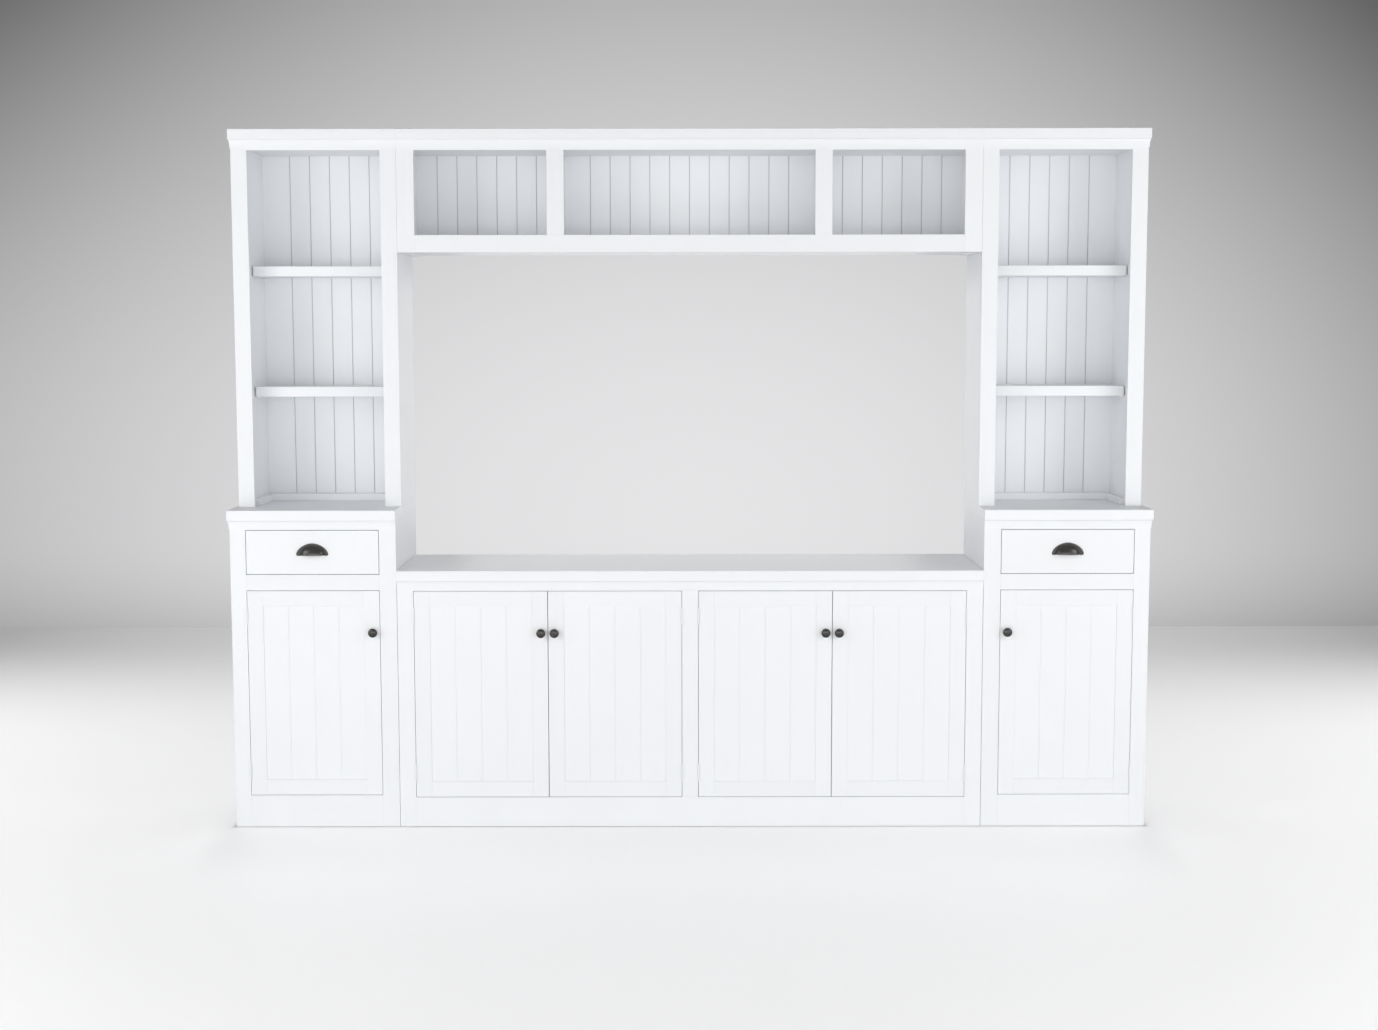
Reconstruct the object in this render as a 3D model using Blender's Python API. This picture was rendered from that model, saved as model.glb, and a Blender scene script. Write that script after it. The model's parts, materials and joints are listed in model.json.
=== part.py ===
"""Painted wall unit for a television: two towers, a low media base and a bridge of cubbies.

Lengths are metres. X runs along the wall, Y runs back towards the wall and Z is up.
The origin is on the floor, in the middle of the whole unit.
"""

import math

import bmesh
import bpy
from mathutils import Vector

# Clearances
touch_gap = 0.0003
door_gap = 0.0012
meeting_gap = 0.0018
drawer_front_gap = 0.0015
seam_gap = 0.001
shelf_end_gap = 0.002
cut_overrun = 0.010

# The whole unit
unit_width = 2.800
unit_height = 2.124
base_depth = 0.412
media_width = 1.782
tower_base_height = 0.977
media_base_height = 0.7925
hutch_setback = 0.105
hutch_side_step = 0.005
hutch_inner_step = 0.002

# Tops, cornices and the cove moulding under them
slab_thickness = 0.032
side_overhang = 0.006
front_overhang = 0.008
slab_edge_radius = 0.003
slab_edge_steps = 3
cove_height = 0.026
cove_steps = 5
cove_foot_share = 0.2

# Boards of the cases
frame_thickness = 0.020
base_side_thickness = 0.019
base_floor_thickness = 0.019
base_stretcher_thickness = 0.019
divider_thickness = 0.019
media_partition_thickness = 0.025
hutch_side_thickness = 0.038
bridge_end_thickness = 0.027
bridge_partition_thickness = 0.027
bridge_floor_thickness = 0.0485
base_back_thickness = 0.006
base_back_seat = 0.009
eased_edge = 0.001

# Face frames of the bases
tower_outer_stile = 0.0475
tower_inner_stile = 0.0515
tower_bottom_rail = 0.0985
drawer_opening_height = 0.1359
tower_middle_rail = 0.0486
tower_top_rail = 0.0285
media_end_stile = 0.0503
media_mullion = 0.049
media_bottom_rail = 0.0915
media_top_rail = 0.0305

# Face frames of the hutches and of the bridge
hutch_stile = 0.049
hutch_top_rail = 0.032
bridge_end_stile = 0.053
bridge_partition_stile = 0.052
bridge_partition_share = 0.4583
bridge_height = 0.3705
bridge_bottom_rail = 0.0525
ceiling_lift = 0.0065

# Grooved backs of the hutches and of the bridge
back_inset = 0.255
back_thickness = 0.009
back_seat = 0.009
back_seat_rise = 0.006
rear_rail_height = 0.070
back_board_width = 0.0628
back_groove_width = 0.004
back_groove_depth = 0.0025

# Hutch shelves, their pins and the cleat at the foot
hutch_shelf_thickness = 0.031
hutch_shelf_setback = 0.075
hutch_shelf_corner_radius = 0.008
upper_shelf_share = 0.6774
lower_shelf_share = 0.3373
pin_radius = 0.003
pin_reach = 0.009
pin_seat = 0.004
pin_inset = 0.035
pin_steps = 8
cleat_height = 0.022
cleat_side_width = 0.018
cleat_back_width = 0.040
cleat_front_setback = 0.020

# Shelves inside the bases
base_shelf_thickness = 0.019
base_shelf_front_setback = 0.030
base_shelf_rear_gap = 0.004
base_shelf_height_share = 0.5

# Doors
door_thickness = 0.020
door_member = 0.048
panel_recess = 0.003
panel_thickness = 0.009
panel_tongue = 0.010
door_board_count = 4
door_groove_width = 0.004
door_groove_depth = 0.0025
stop_drop = 0.012
stop_depth = 0.016
stop_width = 0.080

# Hinges
hinge_length = 0.050
hinge_end_distance = 0.076
hinge_reach = 0.003
knuckle_radius = 0.0024
hinge_pin_radius = 0.0011
hinge_bore_clearance = 0.0004
hinge_leaf_width = 0.003
hinge_leaf_depth = 0.004
hinge_steps = 12

# Drawers
drawer_board = 0.012
drawer_bottom_thickness = 0.006
drawer_bottom_rise = 0.008
drawer_box_height = 0.108
drawer_box_depth = 0.340
drawer_side_gap = 0.006
guide_height = 0.030
guide_gap = 0.0008

# Cup pulls
pull_width = 0.098
pull_height = 0.038
pull_reach = 0.023
pull_wall = 0.0022
pull_plate_thickness = 0.0022
pull_plate_corner = 0.005
pull_plate_power_share = 1.14
pull_dome_width = 0.079
pull_dome_height = 0.0345
pull_dome_power_share = 0.87
pull_lip_rise = 0.0022
pull_drop = 0.0577
pull_steps = 24
pull_rings = 12
pull_corner_steps = 4

# Knobs: shares of the radius, then of the reach, from the door outwards
knob_radius = 0.014
knob_reach = 0.024
knob_drop = 0.127
knob_inset = 0.0195
knob_steps = 20
knob_shares = (
    (0.60, 0.00),
    (0.60, 0.07),
    (0.42, 0.16),
    (0.38, 0.40),
    (0.62, 0.52),
    (0.95, 0.62),
    (1.00, 0.72),
    (0.90, 0.86),
    (0.55, 0.97),
)

# Bolts that join the bridge to the towers
bolt_head_radius = 0.0065
bolt_head_thickness = 0.003
bolt_shank_radius = 0.003
bolt_setback = 0.075
bolt_drop = 0.037
bolt_steps = 16

# Cable ports in the back of the media base
port_radius = 0.030
port_height_share = 0.62
port_steps = 20

# Places that follow from the sizes above
tower_outer = unit_width / 2 - side_overhang
seam = media_width / 2
hutch_outer = tower_outer - hutch_side_step
hutch_inner = seam - hutch_inner_step
base_front = (knob_reach - base_depth) / 2
wall = base_front + base_depth
frame_rear = base_front + frame_thickness
carcass_front = frame_rear + touch_gap
hutch_front = base_front + hutch_setback
case_front = hutch_front + frame_thickness + touch_gap
board_front = hutch_front + back_inset
board_rear = board_front + back_thickness
base_back_front = wall - base_back_thickness - touch_gap

tower_slab_under = tower_base_height - slab_thickness
media_slab_under = media_base_height - slab_thickness
cornice_under = unit_height - slab_thickness
hutch_foot = tower_base_height + touch_gap
opening_top = cornice_under - hutch_top_rail
ceiling = opening_top + ceiling_lift
hutch_clear_height = ceiling - tower_base_height
upper_shelf_top = tower_base_height + hutch_clear_height * upper_shelf_share
lower_shelf_top = tower_base_height + hutch_clear_height * lower_shelf_share
bridge_bottom = unit_height - bridge_height
bridge_floor = bridge_bottom + bridge_bottom_rail

tower_opening_inner = seam + tower_inner_stile
tower_opening_outer = tower_outer - tower_outer_stile
drawer_opening_top = tower_slab_under - tower_top_rail
drawer_opening_low = drawer_opening_top - drawer_opening_height
tower_door_top = drawer_opening_low - tower_middle_rail
media_opening_outer = seam - media_end_stile
media_opening_inner = media_mullion / 2
media_opening_top = media_slab_under - media_top_rail
hutch_opening_inner = hutch_inner + hutch_stile
hutch_opening_outer = hutch_outer - hutch_stile
bridge_half = hutch_inner - touch_gap
bridge_partition_place = bridge_half * bridge_partition_share

axis_y = base_front - hinge_reach
side_names = {-1: "left", 1: "right"}

finishes = {
    "white_paint": ((0.80, 0.81, 0.80), 0.42, 0.0),
    "iron": ((0.018, 0.017, 0.016), 0.45, 0.85),
    "bare_wood": ((0.62, 0.47, 0.30), 0.60, 0.0),
    "steel": ((0.10, 0.10, 0.10), 0.38, 1.0),
}


def clear_scene():
    """Remove every object that the scene holds."""
    for obj in list(bpy.data.objects):
        bpy.data.objects.remove(obj, do_unlink=True)


def material_for(name, finish):
    """Make one piece's own material from a named finish."""
    colour, roughness, metallic = finishes[finish]
    material = bpy.data.materials.new(name + "_finish")
    material.use_nodes = True
    shader = material.node_tree.nodes["Principled BSDF"]
    shader.inputs["Base Color"].default_value = (*colour, 1.0)
    shader.inputs["Roughness"].default_value = roughness
    shader.inputs["Metallic"].default_value = metallic
    material.diffuse_color = (*colour, 1.0)
    return material


def add_box(bm, x, y, z):
    """Add a box between three pairs of limits, each pair in any order."""
    x, y, z = sorted(x), sorted(y), sorted(z)
    corners = [bm.verts.new((x[i], y[j], z[k])) for i in (0, 1) for j in (0, 1) for k in (0, 1)]
    sides = ((0, 1, 3, 2), (4, 6, 7, 5), (0, 4, 5, 1), (2, 3, 7, 6), (0, 2, 6, 4), (1, 5, 7, 3))
    for side in sides:
        bm.faces.new([corners[i] for i in side])


def ring_point(axis, centre, radius, angle, along):
    """Give a point on a circle round an axis through centre."""
    across = radius * math.cos(angle)
    aside = radius * math.sin(angle)
    offsets = {
        "X": (along, across, aside),
        "Y": (across, along, aside),
        "Z": (across, aside, along),
    }
    return Vector(centre) + Vector(offsets[axis])


def add_turned(bm, profile, axis, centre, steps, hollow=False):
    """Add a turned body from (radius, distance along the axis) points."""
    rings = []
    for radius, along in profile:
        count = steps if radius > 0 else 1
        turn = [2 * math.pi * i / steps for i in range(count)]
        rings.append([bm.verts.new(ring_point(axis, centre, radius, a, along)) for a in turn])
    pairs = list(zip(rings, rings[1:]))
    if hollow:
        pairs.append((rings[-1], rings[0]))
    for first, second in pairs:
        join_rings(bm, first, second, steps)
    if not hollow:
        for ring in (rings[0], rings[-1]):
            if len(ring) > 1:
                bm.faces.new(ring)


def join_rings(bm, first, second, steps):
    """Join two rings with faces, where either may be a single point."""
    for i in range(steps):
        following = (i + 1) % steps
        corners = [first[i % len(first)], first[following % len(first)]]
        corners += [second[following % len(second)], second[i % len(second)]]
        unique = list(dict.fromkeys(corners))
        if len(unique) > 2:
            bm.faces.new(unique)


def add_cylinder(bm, radius, axis, centre, low, high, steps):
    """Add a closed cylinder along an axis between two distances from centre."""
    add_turned(bm, ((radius, low), (radius, high)), axis, centre, steps)


def add_prism(bm, outline, z):
    """Add an upright prism from an outline of (x, y) points."""
    lower = [bm.verts.new((x, y, z[0])) for x, y in outline]
    upper = [bm.verts.new((x, y, z[1])) for x, y in outline]
    join_rings(bm, lower, upper, len(outline))
    bm.faces.new(lower)
    bm.faces.new(upper)


def mesh_from(name, bm, origin):
    """Turn a bmesh in world places into a mesh about an origin, faces out."""
    bmesh.ops.recalc_face_normals(bm, faces=bm.faces)
    bmesh.ops.translate(bm, verts=bm.verts, vec=-Vector(origin))
    mesh = bpy.data.meshes.new(name)
    bm.to_mesh(mesh)
    bm.free()
    return mesh


def world_origin(obj):
    """Give the world place of an object whose parents are not turned."""
    place = Vector((0, 0, 0))
    while obj:
        place += obj.location
        obj = obj.parent
    return place


def attach(child, parent):
    """Parent a child without moving it."""
    child.location = world_origin(child) - world_origin(parent)
    child.parent = parent


def piece(name, bm, finish, origin=(0, 0, 0), parent=None):
    """Make a named piece with its own material."""
    obj = bpy.data.objects.new(name, mesh_from(name, bm, origin))
    obj.location = origin
    obj.data.materials.append(material_for(name, finish))
    bpy.context.scene.collection.objects.link(obj)
    if parent:
        attach(obj, parent)
    return obj


def pivot(name, place):
    """Make an empty on a joint's axis."""
    empty = bpy.data.objects.new(name, None)
    empty.location = place
    bpy.context.scene.collection.objects.link(empty)
    return empty


def shape_with(obj, label, bm, operation):
    """Cut or fuse a shape, kept as a wire guide under the piece."""
    origin = world_origin(obj)
    guide = bpy.data.objects.new(f"{obj.name}_{label}", mesh_from(label, bm, origin))
    guide.location = origin
    guide.hide_render = True
    guide.display_type = "WIRE"
    bpy.context.scene.collection.objects.link(guide)
    attach(guide, obj)
    modifier = obj.modifiers.new(label, "BOOLEAN")
    modifier.operation = operation
    modifier.solver = "EXACT"
    modifier.object = guide


def cut_box(obj, label, x, y, z):
    """Cut one box out of a piece."""
    bm = bmesh.new()
    add_box(bm, x, y, z)
    shape_with(obj, label, bm, "DIFFERENCE")


def ease_edges(obj, width):
    """Take the sharpness off a piece's edges."""
    bevel = obj.modifiers.new("eased_edges", "BEVEL")
    bevel.width = width
    bevel.segments = 1
    bevel.limit_method = "ANGLE"
    bevel.angle_limit = math.radians(60)


def smooth_rounds(obj):
    """Shade round stretches smooth and keep corners sharp."""
    obj.data.shade_smooth()
    obj.data.set_sharp_from_angle(angle=math.radians(35))


def grown(limits, amount):
    """Move both limits of a pair outwards."""
    return (limits[0] - amount, limits[1] + amount)


def sided(side, inner, outer):
    """Give the X limits of something on one side of the middle."""
    return tuple(sorted((side * inner, side * outer)))


def through(y):
    """Lengthen a pair of Y limits so that a cutter passes both faces."""
    return grown(y, cut_overrun)


def slab_profile():
    """List (share of the overhang, inset, drop from the top) down a slab and its cove."""
    rings = []
    for step in range(slab_edge_steps + 1):
        turn = math.pi / 2 * step / slab_edge_steps
        inset = slab_edge_radius * (1 - math.sin(turn))
        rings.append((1, inset, slab_edge_radius * (1 - math.cos(turn))))
    for step in range(cove_steps + 1):
        turn = math.pi / 2 * step / cove_steps
        share = cove_foot_share + (1 - cove_foot_share) * (1 - math.sin(turn))
        rings.append((share, 0, slab_thickness + cove_height * (1 - math.cos(turn))))
    return rings


def moulded_top(name, x, front, top, left_over, right_over, body_rear):
    """Make a slab with a cove moulding that laps the case below it."""
    bm = bmesh.new()
    rings = []
    for share, inset, drop in slab_profile():
        left, right, ahead = (over * share - inset if over else 0
                              for over in (left_over, right_over, front_overhang))
        low_x, high_x, low_y = x[0] - left, x[1] + right, front - ahead
        corners = ((low_x, low_y), (high_x, low_y), (high_x, body_rear), (low_x, body_rear))
        rings.append([bm.verts.new((*corner, top - drop)) for corner in corners])
    for first, second in zip(rings, rings[1:]):
        join_rings(bm, first, second, len(first))
    bm.faces.new(rings[0])
    bm.faces.new(rings[-1])
    obj = piece(name, bm, "white_paint")
    left_limit = x[0] - (touch_gap if left_over else cut_overrun)
    right_limit = x[1] + (touch_gap if right_over else cut_overrun)
    depth = (front - touch_gap, body_rear + cut_overrun)
    height = (top - slab_thickness - cove_height - cut_overrun, top - slab_thickness)
    cut_box(obj, "room_for_case", (left_limit, right_limit), depth, height)
    return obj


def framed_openings(name, x, front, z, openings):
    """Make a face frame from a plate with rectangular openings."""
    bm = bmesh.new()
    y = (front, front + frame_thickness)
    add_box(bm, x, y, z)
    obj = piece(name, bm, "white_paint")
    for number, (opening_x, opening_z) in enumerate(openings):
        cut_box(obj, f"opening_{number}", opening_x, through(y), opening_z)
    ease_edges(obj, eased_edge)
    return obj


def grooved_outline(x, y, grooves, width, depth):
    """Give the plan of a board with V grooves in its front face."""
    points = [(x[0], y[0])]
    for place in sorted(grooves):
        points += [(place - width / 2, y[0]), (place, y[0] + depth), (place + width / 2, y[0])]
    return points + [(x[1], y[0]), (x[1], y[1]), (x[0], y[1])]


def evenly_spaced(count, pitch, middle):
    """Give the places of a row that is centred on middle."""
    return [middle + pitch * (i - (count - 1) / 2) for i in range(count)]


def grooves_across(limits):
    """Give the grooves between the whole boards of a back, centred between limits."""
    boards = math.floor((limits[1] - limits[0]) / back_board_width)
    return evenly_spaced(max(boards - 1, 0), back_board_width, sum(limits) / 2)


def grooved_board(name, x, y, z, grooves, sizes, parent=None):
    """Make an upright board with V grooves."""
    bm = bmesh.new()
    add_prism(bm, grooved_outline(x, y, grooves, *sizes), z)
    return piece(name, bm, "white_paint", parent=parent)


def pins_under_shelf(bm, x, y, shelf_under):
    """Add four shelf pins that stand out of the two side faces."""
    z = shelf_under - touch_gap - pin_radius
    for face, inward in ((x[0], 1), (x[1], -1)):
        ends = sorted((-inward * pin_seat, inward * pin_reach))
        for place in (y[0] + pin_inset, y[1] - pin_inset):
            add_cylinder(bm, pin_radius, "X", (face, place, z), ends[0], ends[1], pin_steps)


def plain_board(name, x, y, z, parent=None):
    """Make a rectangular painted board with eased edges."""
    bm = bmesh.new()
    add_box(bm, x, y, z)
    ease_edges(piece(name, bm, "white_paint", parent=parent), eased_edge)


def hinge_heights(z):
    """Give the middles of a door's two hinges."""
    return (z[0] + hinge_end_distance, z[1] - hinge_end_distance)


def fuse_frame_hinges(frame, hinges):
    """Give a face frame its knuckles, pins and leaves, from (x, direction, z) places."""
    turned = bmesh.new()
    leaves = bmesh.new()
    end = hinge_length / 2
    split = hinge_length / 6
    radius, pin = knuckle_radius, hinge_pin_radius
    profile = ((radius, -end), (radius, -split), (pin, -split), (pin, split), (radius, split), (radius, end))
    for x, toward, z in hinges:
        add_turned(turned, profile, "Z", (x, axis_y, z), hinge_steps)
        leaf_x = (x - toward * touch_gap, x - toward * hinge_leaf_width)
        leaf_y = (axis_y, base_front + hinge_leaf_depth)
        add_box(leaves, leaf_x, leaf_y, (z - end, z - split))
        add_box(leaves, leaf_x, leaf_y, (z + split, z + end))
    shape_with(frame, "hinge_leaves", leaves, "UNION")
    shape_with(frame, "hinge_knuckles", turned, "UNION")


def fuse_door_hinges(frame, x, toward, z):
    """Give a door its middle knuckles, bored for the pins, and their leaves."""
    turned = bmesh.new()
    leaves = bmesh.new()
    bores = bmesh.new()
    reach = hinge_length / 6 - touch_gap
    bore = hinge_pin_radius + hinge_bore_clearance
    for height in hinge_heights(z):
        centre = (x, axis_y, height)
        add_cylinder(turned, knuckle_radius, "Z", centre, -reach, reach, hinge_steps)
        add_cylinder(bores, bore, "Z", centre, -hinge_length, hinge_length, hinge_steps)
        leaf_x = (x + toward * touch_gap, x + toward * hinge_leaf_width)
        leaf_y = (axis_y, base_front + hinge_leaf_depth)
        add_box(leaves, leaf_x, leaf_y, (height - reach, height + reach))
    shape_with(frame, "hinge_leaves", leaves, "UNION")
    shape_with(frame, "hinge_knuckles", turned, "UNION")
    shape_with(frame, "hinge_bores", bores, "DIFFERENCE")


def knob(name, x, z, parent):
    """Turn a door knob from its profile."""
    bm = bmesh.new()
    foot = base_front - touch_gap
    reach = knob_reach - touch_gap
    profile = [(knob_radius * across, -reach * along) for across, along in knob_shares]
    profile.append((0, -reach))
    add_turned(bm, profile, "Y", (x, foot, z), knob_steps)
    obj = piece(name, bm, "iron", origin=(x, foot, z), parent=parent)
    smooth_rounds(obj)


def door(name, hinge_x, toward, width, z):
    """Make a framed door with a grooved panel and a knob, on its hinge axis."""
    near = hinge_x + toward * door_gap / 2
    far = near + toward * width
    x = tuple(sorted((near, far)))
    y = (base_front, base_front + door_thickness)
    axis = pivot(name + "_hinge_axis", (hinge_x, axis_y, z[0]))
    bm = bmesh.new()
    add_box(bm, x, y, z)
    frame = piece(name + "_frame", bm, "white_paint", origin=axis.location.copy(), parent=axis)
    inner_x = grown(x, -door_member)
    inner_z = grown(z, -door_member)
    cut_box(frame, "panel_opening", inner_x, through(y), inner_z)
    ease_edges(frame, eased_edge)
    panel_y = (y[0] + panel_recess, y[0] + panel_recess + panel_thickness)
    seat_x = grown(inner_x, panel_tongue)
    seat_z = grown(inner_z, panel_tongue)
    cut_box(frame, "panel_seat", seat_x, grown(panel_y, touch_gap), seat_z)
    fuse_door_hinges(frame, hinge_x, toward, z)
    pitch = (inner_x[1] - inner_x[0]) / door_board_count
    grooves = evenly_spaced(door_board_count - 1, pitch, sum(x) / 2)
    sizes = (door_groove_width, door_groove_depth)
    panel_x, panel_z = grown(seat_x, -touch_gap), grown(seat_z, -touch_gap)
    grooved_board(name + "_panel", panel_x, panel_y, panel_z, grooves, sizes, parent=axis)
    knob(name + "_knob", far - toward * knob_inset, z[1] - knob_drop, axis)


def cup_pull(name, x, z, parent):
    """Make a hollow cup on a half-moon plate, open below so that fingers reach in."""
    face = base_front - touch_gap
    bm = bmesh.new()
    radii = (pull_dome_width / 2, pull_reach - touch_gap, pull_dome_height)
    add_dome(bm, (x, face, z), radii)
    obj = piece(name, bm, "iron", origin=(x, face, z), parent=parent)
    beside = (x - pull_width, x + pull_width)
    depth = (face - pull_width, face + pull_width)
    cut_box(obj, "open_foot", beside, depth, (z - pull_width, z + pull_lip_rise))
    plate = bmesh.new()
    add_plate(plate, (x, z), (face - pull_plate_thickness, face))
    shape_with(obj, "plate", plate, "UNION")
    hollow = bmesh.new()
    add_dome(hollow, (x, face, z), [radius - pull_wall for radius in radii])
    shape_with(obj, "finger_room", hollow, "DIFFERENCE")
    cut_box(obj, "flat_back", beside, (face, face + pull_width), (z - pull_width, z + pull_width))
    smooth_rounds(obj)


def powered(value, power):
    """Raise a share to a power and keep its sign."""
    return math.copysign(abs(value) ** power, value)


def add_dome(bm, centre, radii):
    """Add a full dome about a centre, with its poles at the two sides."""
    turns = [math.pi * i / pull_rings for i in range(1, pull_rings)]
    power = pull_dome_power_share
    rounds = [(powered(math.sin(turn), power), -powered(math.cos(turn), power)) for turn in turns]
    add_turned(bm, [(0, -1), *rounds, (0, 1)], "X", (0, 0, 0), pull_steps)
    for vert in bm.verts:
        vert.co = Vector(centre) + Vector([c * r for c, r in zip(vert.co, radii)])


def plate_outline():
    """Give the right half of a pull's plate, from the middle of its foot round to its crown."""
    start = math.asin(pull_plate_corner / pull_height)
    half = pull_width / 2
    corner = half * powered(math.cos(start), pull_plate_power_share) - pull_plate_corner
    points = []
    for step in range(pull_corner_steps):
        turn = math.pi / 2 * step / pull_corner_steps
        aside = corner + pull_plate_corner * math.sin(turn)
        points.append((aside, pull_plate_corner * (1 - math.cos(turn))))
    for step in range(pull_steps):
        turn = start + (math.pi / 2 - start) * step / pull_steps
        aside = half * powered(math.cos(turn), pull_plate_power_share)
        points.append((aside, pull_height * math.sin(turn)))
    return points


def add_plate(bm, place, y):
    """Add a pull's half-moon plate that stands between two Y limits."""
    right = plate_outline()
    outline = [*right, (0, pull_height), *((-aside, up) for aside, up in reversed(right))]
    rings = [[bm.verts.new((place[0] + aside, along, place[1] + up)) for aside, up in outline] for along in y]
    join_rings(bm, *rings, len(outline))
    for ring in rings:
        bm.faces.new(ring)


def drawer(side):
    """Make a drawer box that runs on the divider, its front and its cup pull."""
    name = side_names[side] + "_drawer"
    opening = sided(side, tower_opening_inner, tower_opening_outer)
    slide = pivot(name + "_slide", (sum(opening) / 2, base_front, drawer_opening_low))
    box_x = grown(opening, -drawer_side_gap)
    front_y = (base_front, base_front + frame_thickness)
    box_y = (front_y[1] + touch_gap, front_y[1] + touch_gap + drawer_box_depth)
    box_z = (drawer_opening_low + touch_gap, drawer_opening_low + touch_gap + drawer_box_height)
    bm = bmesh.new()
    add_box(bm, box_x, box_y, box_z)
    box = piece(name + "_box", bm, "bare_wood", parent=slide)
    inner_x = grown(box_x, -drawer_board)
    inner_y = grown(box_y, -drawer_board)
    bottom = box_z[0] + drawer_bottom_rise
    cut_box(box, "inside", inner_x, inner_y, (bottom + drawer_bottom_thickness, box_z[1] + cut_overrun))
    cut_box(box, "under_bottom", inner_x, inner_y, (box_z[0] - cut_overrun, bottom))
    front_x = grown(opening, -drawer_front_gap)
    front_z = grown((drawer_opening_low, drawer_opening_top), -drawer_front_gap)
    plain_board(name + "_front", front_x, front_y, front_z, slide)
    cup_pull(name + "_pull", sum(opening) / 2, front_z[1] - pull_drop - pull_height / 2, slide)


def tower_base(side):
    """Make one tower base: carcass, frame, back, shelf and top."""
    name = side_names[side] + "_base"
    x = sided(side, seam, tower_outer)
    inner_x = grown(x, -base_side_thickness)
    opening = sided(side, tower_opening_inner, tower_opening_outer)
    door_z = (tower_bottom_rail, tower_door_top)
    drawer_z = (drawer_opening_low, drawer_opening_top)
    frame = framed_openings(name + "_face_frame", x, base_front, (0, tower_slab_under - touch_gap),
                            ((opening, door_z), (opening, drawer_z)))
    hinge_x = side * (tower_opening_outer - door_gap / 2)
    door_limits = grown(door_z, -door_gap)
    fuse_frame_hinges(frame, [(hinge_x, -side, z) for z in hinge_heights(door_limits)])
    carcass = base_carcass(name + "_carcass", x, tower_slab_under - touch_gap)
    y = through((carcass_front, wall))
    divider_under = drawer_opening_low - divider_thickness
    cut_box(carcass, "toe_space", inner_x, y, (-cut_overrun, tower_bottom_rail - base_floor_thickness))
    cut_box(carcass, "door_space", inner_x, y, (tower_bottom_rail, divider_under))
    guides = grown(opening, guide_gap - drawer_side_gap)
    guide_z = (drawer_opening_low, drawer_opening_low + guide_height + cut_overrun)
    cut_box(carcass, "drawer_way", guides, y, guide_z)
    drawer_room = (drawer_opening_low + guide_height, tower_slab_under - base_stretcher_thickness)
    cut_box(carcass, "drawer_space", inner_x, y, drawer_room)
    fit_base_back(carcass, name + "_back", x, tower_bottom_rail, tower_slab_under)
    stop_middle = side * (tower_opening_inner + stop_width)
    add_door_stop(carcass, stop_middle, tower_door_top, divider_under)
    shelf_in_base(carcass, name + "_shelf", inner_x, (tower_bottom_rail, divider_under))
    left_over, right_over = (side_overhang, 0) if side < 0 else (0, side_overhang)
    moulded_top(name + "_top", x, base_front, tower_base_height, left_over, right_over, wall)


def base_carcass(name, x, top):
    """Make the block that a base's spaces are cut from."""
    bm = bmesh.new()
    add_box(bm, x, (carcass_front, wall), (0, top))
    return piece(name, bm, "white_paint")


def fit_base_back(carcass, name, x, floor, top):
    """Rebate a carcass for its back board and make the board."""
    seat_x = grown(x, -base_back_seat)
    seat_z = (floor - base_back_seat, top - base_back_seat)
    cut_box(carcass, "back_rebate", seat_x, (base_back_front, wall + cut_overrun), seat_z)
    return plain_back(name, grown(seat_x, -touch_gap), grown(seat_z, -touch_gap))


def plain_back(name, x, z):
    """Make the flat back board of a base."""
    bm = bmesh.new()
    add_box(bm, x, (wall - base_back_thickness, wall), z)
    return piece(name, bm, "white_paint")


def add_door_stop(carcass, middle, opening_top_z, under):
    """Fuse a stop block behind the head of a door."""
    bm = bmesh.new()
    x = (middle - stop_width / 2, middle + stop_width / 2)
    y = (carcass_front, carcass_front + stop_depth)
    add_box(bm, x, y, (opening_top_z - stop_drop, under + base_stretcher_thickness / 2))
    label = "door_stop_right" if middle > 0 else "door_stop_left"
    shape_with(carcass, label, bm, "UNION")


def shelf_in_base(carcass, name, x, z):
    """Set a shelf on four pins inside a base."""
    y = (carcass_front + base_shelf_front_setback, base_back_front - base_shelf_rear_gap)
    under = z[0] + (z[1] - z[0]) * base_shelf_height_share
    bm = bmesh.new()
    pins_under_shelf(bm, x, y, under)
    shape_with(carcass, name + "_pins", bm, "UNION")
    plain_board(name, grown(x, -shelf_end_gap), y, (under, under + base_shelf_thickness))


def media_base():
    """Make the low media base between the towers, with its four doors."""
    x = (seam_gap - seam, seam - seam_gap)
    openings = []
    bays = []
    hinges = []
    door_width = (media_opening_outer - media_opening_inner - meeting_gap) / 2 - door_gap
    door_z = (media_bottom_rail, media_opening_top)
    door_limits = grown(door_z, -door_gap)
    for side in side_names:
        openings.append((sided(side, media_opening_inner, media_opening_outer), door_z))
        inner = media_partition_thickness / 2
        bays.append(sided(side, inner, seam - seam_gap - base_side_thickness))
        outer_hinge = side * (media_opening_outer - door_gap / 2)
        inner_hinge = side * (media_opening_inner + door_gap / 2)
        places = ((outer_hinge, -side), (inner_hinge, side))
        numbers = (1, 2) if side < 0 else (4, 3)
        for number, (hinge_x, toward) in zip(numbers, places):
            door(f"media_door_{number}", hinge_x, toward, door_width, door_limits)
            hinges += [(hinge_x, toward, z) for z in hinge_heights(door_limits)]
    frame = framed_openings("media_base_face_frame", x, base_front,
                            (0, media_slab_under - touch_gap), openings)
    fuse_frame_hinges(frame, hinges)
    media_carcass(x, bays)
    moulded_top("media_base_top", x, base_front, media_base_height, 0, 0, wall)


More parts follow.
